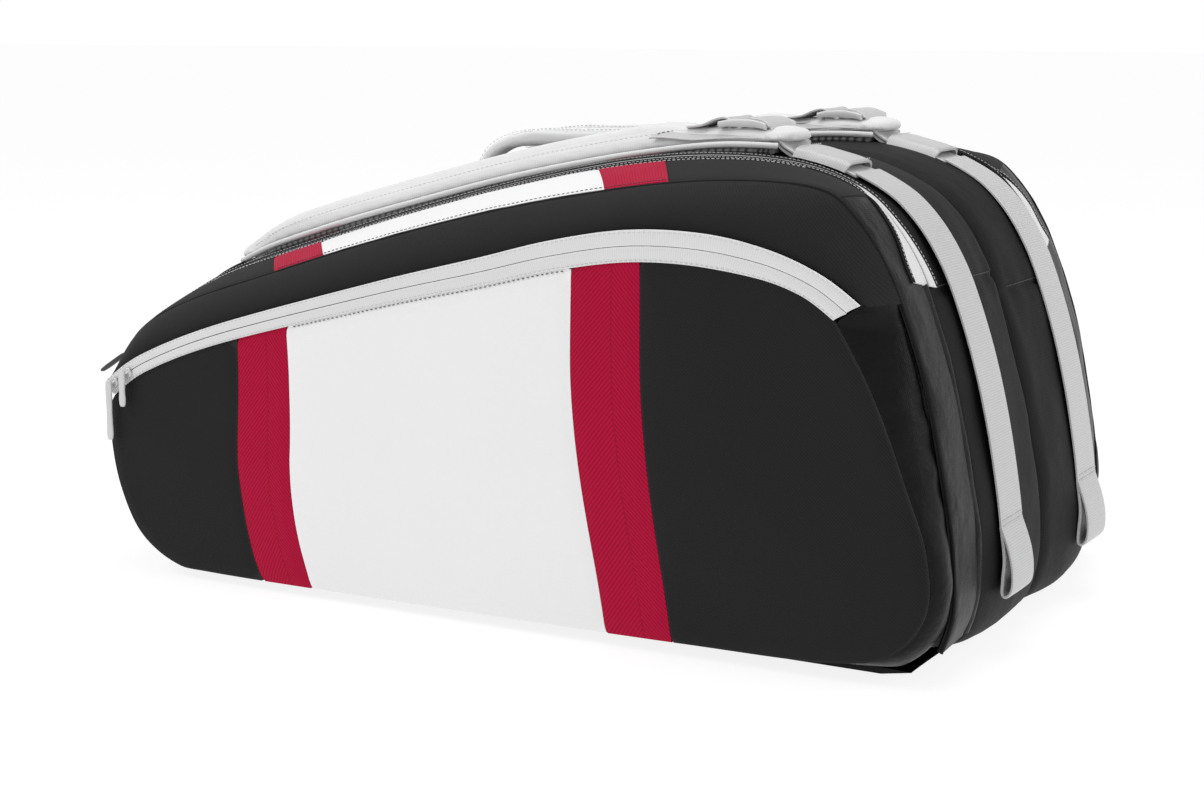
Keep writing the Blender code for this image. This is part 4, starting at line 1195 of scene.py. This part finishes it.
def centre_strip(word, side):
    """The coloured pieces on the centre's own edge, across the zip from those on the lid."""
    run = even(centre_line, 1800)
    cuts = [int(np.argmax(run[:, 0] > x)) for x in (-0.262, -0.222, 0.028, 0.080)]
    y = np.array([0.1190, 0.1196, 0.1215, 0.1245, 0.1280, 0.1310, 0.1335, 0.1342])
    drop = np.array([-0.0002, 0.0006, 0.0006, 0.0002, -0.0006, -0.0016, -0.0026, -0.0032])
    for i, (label, look, slot) in enumerate((("red_a", "red_strip", "red_webbing"),
                                             ("white", "white", "white_panel"),
                                             ("red_b", "red_strip", "red_webbing"))):
        at = np.linspace(cuts[i] + 1, cuts[i + 1] - 1, 90 if i == 1 else 26)
        grid = []
        for a, b in zip(y, drop):
            back = at - (HALF_EDGE - a) * 560
            line = np.stack([np.interp(back, np.arange(1800), run[:, k]) for k in range(2)], 1)
            up = normals(line)
            p = line + up * (b + 0.0009)
            grid.append(np.stack([p[:, 0], np.full(len(p), a), p[:, 1]], 1))
        inward = -upright(up)[:, None]
        done(slab(f"{word}_centre_strip_{label}", np.stack(grid, 1), 0.0009, LOOKS[look], side, inward),
             "centre")


# ---------------------------------------------------------------- shoulder straps
def inflate(obj, voxel, cap):
    """Pads a closed piece out by a short cloth simulation with pressure; no point moves more than cap."""
    bpy.context.view_layer.objects.active = obj
    for o in bpy.context.selected_objects:
        o.select_set(False)
    obj.select_set(True)
    scene = bpy.context.scene
    remesh = obj.modifiers.new("remesh", "REMESH")
    remesh.mode = "VOXEL"
    remesh.voxel_size = voxel
    bpy.ops.object.modifier_apply(modifier="remesh")
    n = len(obj.data.vertices)
    rest = np.zeros(n * 3)
    obj.data.vertices.foreach_get("co", rest)
    rest = rest.reshape(-1, 3)
    cloth = obj.modifiers.new("cloth", "CLOTH")
    cloth.settings.use_pressure = True
    cloth.settings.uniform_pressure_force = SIM_PRESSURE
    cloth.settings.tension_stiffness = 20
    cloth.settings.compression_stiffness = 15
    cloth.settings.effector_weights.gravity = 0.0
    cloth.collision_settings.use_self_collision = False
    cloth.point_cache.frame_start = 1
    cloth.point_cache.frame_end = SIM_FRAMES
    for f in range(1, SIM_FRAMES + 1):
        scene.frame_set(f)
    graph = bpy.context.evaluated_depsgraph_get()
    moved = np.zeros(n * 3)
    obj.evaluated_get(graph).data.vertices.foreach_get("co", moved)
    moved = moved.reshape(-1, 3)
    obj.modifiers.remove(cloth)
    scene.frame_set(1)
    step = moved - rest
    size = np.linalg.norm(step, axis=1, keepdims=True)
    step *= np.minimum(1.0, cap / np.maximum(size, 1e-9))
    obj.data.vertices.foreach_set("co", (rest + step).ravel())
    obj.data.update()
    sub = obj.modifiers.new("smooth", "SUBSURF")
    sub.levels = sub.render_levels = 1
    bpy.ops.object.modifier_apply(modifier="smooth")
    for p in obj.data.polygons:
        p.use_smooth = True


strap_line = even(offset(catmull(CENTRE, 12), 0.0022), 1500)
strap_line = between(strap_line, share_at(strap_line, lambda x, z: x > -0.352 and z > 0.15),
                     share_at(strap_line, lambda x, z: x > 0.172), STRAP_POINTS)
strap_up = normals(strap_line)
strap_share = np.linspace(0, 1, STRAP_POINTS)
strap_half = 0.0365 * np.minimum(0.50 + 0.50 * smooth(strap_share / 0.13),
                                np.sqrt(np.clip(1 - ((strap_share - 0.935) / 0.07).clip(0, 1) ** 2, 0.04, 1)))
strap_half *= np.sqrt(np.clip(strap_share / 0.02, 0.15, 1))
strap_top = 0.0125 + 0.0095 * smooth(strap_share / 0.16) - 0.0075 * smooth((strap_share - 0.79) / 0.08)
pad_half_high = (strap_top - PAD_BASE) / 2


def strap_section(level, squeeze, bow=0.0):
    """A line of the pad: level above its run, squeeze times its half width out, bowed down at the side."""
    xz = strap_line + strap_up * np.reshape(level - bow, (-1, 1))
    return np.stack([xz[:, 0], STRAP_Y + strap_half * squeeze, xz[:, 1]], 1)


def strap_crown(squeeze, rise=0.0):
    """The line on top of the pad at a share of its half width."""
    level = PAD_BASE + pad_half_high * (1 + (1 - abs(squeeze) ** 2.6) ** 0.5)
    return strap_section(level + rise, squeeze, PAD_BOW * abs(squeeze) ** 3)


def strap(word, side):
    body = word + "_strap"
    rows = []
    for k in range(20):
        ang = 2 * math.pi * k / 20
        cy = squared(math.cos(ang), 0.70)
        cz = squared(math.sin(ang), 0.85)
        rows.append(strap_section(PAD_BASE + pad_half_high * (1 + cz), cy * 0.985, PAD_BOW * abs(cy) ** 3))
    pad = sweep(word + "_pad", np.stack(rows, 1), LOOKS["pad"], side, cap="fan")
    inflate(pad, 0.0042, 0.0045)
    done(pad, body, [word + "_strap_pad"])

    t = np.linspace(-1, 1, 15)
    grid = np.stack([strap_section(0.0042, v * 0.985, 0.0012 * abs(v) ** 3) for v in t], 1)
    keep = slice(4, 146)
    up3 = upright(strap_up)
    net = slab(word + "_pad_mesh", grid[keep], 0.0040, LOOKS["net"], side, -up3[keep, None])
    done(net, body, [word + "_strap_mesh"])

    for v in (-1, 1):
        edge = strap_section(0.0078, v * 0.990, 0.0022)[3:147]
        done(tube(f"{word}_pad_piping_{'in' if v < 0 else 'out'}", edge, up3[3:147], 0.0023,
                  LOOKS["pad_cloth"], side),
             body)
        row = strap_crown(v * 0.80, 0.0005)[8:132]
        sew(f"{word}_pad_stitches_{'in' if v < 0 else 'out'}", row, up3[8:132], "thread", side, body, 0.0044,
            0.0032, 0.0007)

    # sewn patch at the buckle end, with its curved seam
    n0 = 118
    t = np.linspace(-1, 1, 17)
    patch = []
    for v in t:
        line = strap_crown(v * 0.90, 0.0009)
        start = n0 + int(7 * (1 - v * v))
        cut = np.linspace(start, 143, 26)
        patch.append(np.stack([np.interp(cut, np.arange(STRAP_POINTS), line[:, k]) for k in range(3)], 1))
    patch = np.stack(patch, 1)
    obj = slab(word + "_pad_patch", patch, 0.0012, LOOKS["webbing"], side, np.array([0, 0, -1.0]))
    done(obj, body)
    row = patch[1] + (0, 0, 0.0004)
    ups = np.tile([0.0, 0.0, 1.0], (40, 1))
    sew(word + "_pad_patch_stitches", even(row, 40), ups, "dark_thread", side, body, 0.0036, 0.0026, 0.0007)

    # anchor patch at the narrow end, sewn to the centre half
    run = even(centre_line, 900)
    a = between(run, share_at(run, lambda x, z: x > -0.402 and z > 0.1),
                share_at(run, lambda x, z: x > -0.338 and z > 0.1), 40)
    n = normals(a)
    t = np.linspace(-1, 1, 13)
    half = 0.024 - 0.004 * np.linspace(1, 0, 40)
    rise = 0.0042 + 0.0035 * smooth(np.linspace(-0.3, 1, 40))
    grid = []
    for v in t:
        xz = a + n * (rise - 0.0016 * abs(v) ** 3)[:, None]
        grid.append(np.stack([xz[:, 0], STRAP_Y + v * half, xz[:, 1]], 1))
    inward = -upright(n)[:, None]
    obj = slab(word + "_narrow_anchor_patch", np.stack(grid, 1), 0.0020, LOOKS["charcoal"], side, inward)
    done(obj, "centre")


def ribbon(name, line, mat, side, half=WEB / 2, thick=WEB_THICK):
    """A flat webbing along a line (x, z), with rounded edges and a slight crown."""
    n = normals(line)
    t = np.array([-1, -0.97, -0.9, -0.6, -0.3, 0, 0.3, 0.6, 0.9, 0.97, 1])
    crown = np.array([-0.5, -0.15, 0.0, 0.05, 0.1, 0.1, 0.1, 0.05, 0.0, -0.15, -0.5]) * thick * 0.6
    grid = []
    for v, c in zip(t, crown):
        xz = line + n * c
        grid.append(np.stack([xz[:, 0], np.full(len(line), STRAP_Y + v * half), xz[:, 1]], 1))
    inward = -upright(n)[:, None]
    return slab(name, np.stack(grid, 1), thick, mat, side, inward)


def buckle_and_webbing(word, side):
    lo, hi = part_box(word + "_buckle")
    x0, x1 = lo.x - MIDDLE_X, hi.x - MIDDLE_X
    mid = (lo.z + hi.z) / 2
    body = word + "_buckle"
    wide = WEB / 2 + 0.0055

    # ladder lock: two side rails and five bars across, the middle three slanted
    first = True
    for sign in (-1, 1):
        rail = np.array([(x0 + 0.001, mid - 0.0002), (x0 + 0.010, mid + 0.0010), (x0 + 0.024, mid + 0.0012),
                         (x1 - 0.006, mid + 0.0002), (x1 - 0.001, mid - 0.0012)])
        rail = even(catmull(rail, 8), 30)
        rows = []
        for i, p in enumerate(rail):
            f = i / 29
            half_z = 0.0030 * (0.75 + 0.25 * math.sin(math.pi * f))
            half_y = 0.0027
            ring = []
            for k in range(12):
                ang = 2 * math.pi * k / 12
                cy = squared(math.cos(ang), 0.5)
                cz = squared(math.sin(ang), 0.5)
                ring.append((p[0], STRAP_Y + sign * (wide - 0.0027) + half_y * cy, p[1] + half_z * cz))
            rows.append(ring)
        rail_obj = sweep(f"{word}_lock_rail_{'a' if sign < 0 else 'b'}", np.array(rows), LOOKS["plastic"],
                         side,
                         cap="fan")
        done(rail_obj, body, [word + "_buckle"] if first else [])
        first = False
    for i, (x, z, w, h, lean) in enumerate(((x0 + 0.0030, mid, 0.0036, 0.0024, 0.0),
                                            (x0 + 0.0120, mid + 0.0008, 0.0026, 0.0028, 0.5),
                                            (x0 + 0.0205, mid + 0.0008, 0.0034, 0.0028, 0.5),
                                            (x0 + 0.0290, mid + 0.0004, 0.0026, 0.0026, 0.5),
                                            (x1 - 0.0034, mid - 0.0006, 0.0040, 0.0024, 0.0))):
        ys = np.linspace(-(wide - 0.004), wide - 0.004, 15)
        rows = []
        for y in ys:
            ring = []
            for k in range(10):
                ang = 2 * math.pi * k / 10
                a = w * squared(math.cos(ang), 0.6)
                b = h * 0.62 * squared(math.sin(ang), 0.6)
                ring.append((x + a * math.cos(lean) - b * math.sin(lean), STRAP_Y + y,
                             z + a * math.sin(lean) + b * math.cos(lean)))
            rows.append(ring)
        done(sweep(f"{word}_lock_bar_{i}", np.array(rows), LOOKS["plastic"], side, cap="fan"), body)

    # folded tab that holds the lock to the pad
    tab = np.array([(x0 - 0.022, mid - 0.0062), (x0 - 0.010, mid - 0.0050), (x0 - 0.002, mid - 0.0036),
                    (x0 + 0.0055, mid - 0.0030), (x0 + 0.0078, mid + 0.0004), (x0 + 0.0040, mid + 0.0034),
                    (x0 - 0.004, mid + 0.0022), (x0 - 0.016, mid - 0.0024), (x0 - 0.028, mid - 0.0040)])
    done(ribbon(word + "_lock_tab", even(catmull(tab, 10), 70), LOOKS["webbing"], side, WEB / 2 - 0.001,
                0.0015),
         word + "_strap")

    # webbing through the lock, down to the keeper
    full = even(offset(centre_line, 0.0031), 1600)
    k0 = share_at(full, lambda x, z: x > 0.176)
    seat = between(full, k0, k0 + 0.004, 3)
    lead = np.array([(x1 - 0.0150, mid + 0.0052), (x1 - 0.0085, mid + 0.0046), (x1 - 0.0010, mid + 0.0016),
                     (x1 + 0.0045, mid - 0.0050), (x1 + 0.0120, mid - 0.0135),
                     (seat[0, 0], seat[0, 1] + 0.0006)])
    lead = even(catmull(lead, 10), 60)
    obj = ribbon(word + "_lead_webbing", lead, LOOKS["webbing"], side, WEB / 2 - 0.0008)
    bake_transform(obj)
    under = np.array([(x1 - 0.0170, mid - 0.0062), (x1 - 0.0080, mid - 0.0066), (x1 + 0.0030, mid - 0.0088),
                      (x1 + 0.0110, mid - 0.0165), (seat[0, 0] - 0.002, seat[0, 1] - 0.0020)])
    obj = ribbon(word + "_return_webbing", even(catmull(under, 10), 50), LOOKS["webbing"], side,
                 WEB / 2 - 0.0012)
    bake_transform(obj)

    # webbing through the keeper, and the keeper sleeve
    k1 = share_at(full, lambda x, z: x > 0.222)
    done(ribbon(word + "_anchor_webbing", between(full, k0 - 0.002, k1, 30), LOOKS["webbing"], side),
         "centre",
         [word + "_strap_anchor"])
    base = even(centre_line, 1600)
    s0 = share_at(base, lambda x, z: x > 0.172)
    s1 = share_at(base, lambda x, z: x > 0.213)
    run = between(base, s0, s1, 24)
    n = normals(run)
    half = WEB / 2 + 0.0032
    rows = []
    for i in range(24):
        f = i / 23
        top = 0.0082 + 0.0012 * math.sin(math.pi * f) + 0.0008 * math.cos(2 * math.pi * f)
        low = 0.0016
        outer = []
        inner = []
        for k in range(17):
            v = -1 + 2 * k / 16
            bend = abs(v) ** 7
            h = top * (1 - bend) + low * bend
            outer.append((v * (half + 0.0012 * math.sin(math.pi * f) ** 2), h))
            inner.append((v * (half - 0.0019), (top - 0.0018) * (1 - bend) + (low - 0.0006) * bend))
        ring = []
        for y, h in outer + inner[::-1]:
            q = run[i] + n[i] * h
            ring.append((q[0], STRAP_Y + y, q[1]))
        rows.append(ring)
    done(sweep(word + "_keeper_sleeve", np.array(rows), LOOKS["webbing"], side), "centre")
    for f, label in ((1, "a"), (22, "b")):
        ys = np.linspace(-half * 0.8, half * 0.8, 20)
        q = run[f] + n[f] * (0.0094)
        path = np.stack([np.full(20, q[0]), STRAP_Y + ys, np.full(20, q[1])], 1)
        ups = np.tile([n[f, 0], 0, n[f, 1]], (20, 1))
        sew(f"{word}_keeper_stitches_{label}", path, ups, "thread", side, "centre", 0.0036, 0.0024, 0.0007)

    # free end: down the wide end, folded back into a finger loop
    t0 = share_at(full, lambda x, z: x > 0.2195)
    t1 = share_at(full, lambda x, z: x > 0.2 and z < 0.052)
    line = between(offset(base, 0.0050), t0, t1, 120)
    bow = 0.0016 * np.sin(np.linspace(0, math.pi, 120)) ** 2
    line = line + normals(line) * bow[:, None]
    low = line[-1]
    cut = int(np.argmax(line[:, 1] < 0.093))
    face_line = line[:cut]
    loop = np.array([face_line[-1], (low[0] + 0.0058, 0.076), (low[0] + 0.0088, 0.060),
                     (low[0] + 0.0080, 0.0475),
                     (low[0] + 0.0030, 0.0420), (low[0] - 0.0012, 0.0450), (low[0] - 0.0012, 0.056),
                     (low[0] - 0.0006, 0.072), (face_line[-1, 0] - 0.0026, face_line[-1, 1] - 0.001)])
    whole = np.concatenate([face_line[:-1], even(catmull(loop, 10), 90)])
    done(ribbon(word + "_tail_webbing", whole, LOOKS["webbing"], side), word + "_strap_tail",
         [word + "_strap_tail"])
    p = line[cut - 1]
    nn = normals(line)[cut - 1]
    ys = np.linspace(-WEB / 2 + 0.001, WEB / 2 - 0.001, 20)
    for shift, label in ((0.0, "a"), (0.0038, "b")):
        q = p + nn * 0.0004
        path = np.stack([np.full(20, q[0] - 0.12 * shift), STRAP_Y + ys, np.full(20, q[1] + shift)], 1)
        sew(f"{word}_tail_stitches_{label}", path, np.tile([nn[0], 0, nn[1]], (20, 1)), "thread", side,
            word + "_strap_tail", 0.0030, 0.0022, 0.0008)


# ---------------------------------------------------------------- grab handles
def handle(word, side):
    feet = ((-0.170, 0.2990), (-0.158, 0.3050), (-0.148, 0.3240), (-0.130, 0.3460), (-0.100, 0.3560),
            (-0.050, 0.3575), (0.000, 0.3590), (0.030, 0.3600), (0.054, 0.3565), (0.074, 0.3520))
    line = even(catmull(feet, 10), 110)
    n = normals(line)
    f = np.linspace(0, 1, 110)
    grip = 1 - 0.62 * smooth((np.abs(f - 0.52) - 0.30) / 0.14)
    crease = 0.0006 * np.sin(f * 130) * np.exp(-((f - 0.17) / 0.10) ** 2)
    rows = []
    for k in range(20):
        ang = 2 * math.pi * k / 20
        cy = squared(math.cos(ang), 0.6)
        cz = squared(math.sin(ang), 0.8)
        xz = line + n * (0.0054 * grip * cz + crease * (cz > 0))[:, None]
        y = HANDLE_Y + (0.0112 + 0.0008 * (1 - grip)) * cy
        rows.append(np.stack([xz[:, 0], y, xz[:, 1]], 1))
    obj = sweep(word + "_handle_grip", np.stack(rows, 1), LOOKS["pad"], side, cap="fan")
    inflate(obj, 0.0036, 0.0022)
    done(obj, word + "_handle", [word + "_handle"])
    up3 = upright(n)
    for v in (-1, 1):
        path = lift_xz(line + n * (0.0054 * grip + 0.0004)[:, None], HANDLE_Y + v * 0.0066)[18:92]
        sew(f"{word}_handle_stitches_{'a' if v < 0 else 'b'}", path, up3[18:92], "thread", side,
            word + "_handle", 0.0040, 0.0028, 0.0006)


for word, side in SIDES:
    centre_half(word, side, SEAM_Z[0] if side < 0 else SEAM_Z[1])
    lid(word, side)
    face(word, side)
    band_on_arch(word, "upper", offset(arch_mid, 0.0003), arch_top, word + "_lid",
                 word + "_pocket_zip_upper", side)
    band_on_arch(word, "lower", offset(arch_mid, -0.0003), arch_low, word + "_flap",
                 word + "_pocket_zip_lower", side)
    flap(word, side)
    main_zip(word, side)
    centre_strip(word, side)
    lean = math.atan2(0.0235, 0.0380)
    for which, spot, pull_long in (("a", (-0.3810, 0.1565), 0.046), ("b", (-0.3665, 0.1655), 0.026)):
        slider(word, which, spot, lean, FLAP_FRONT + 0.0004, pull_long, side)
    main_pull(word, side)
    strap(word, side)
    buckle_and_webbing(word, side)
    handle(word, side)
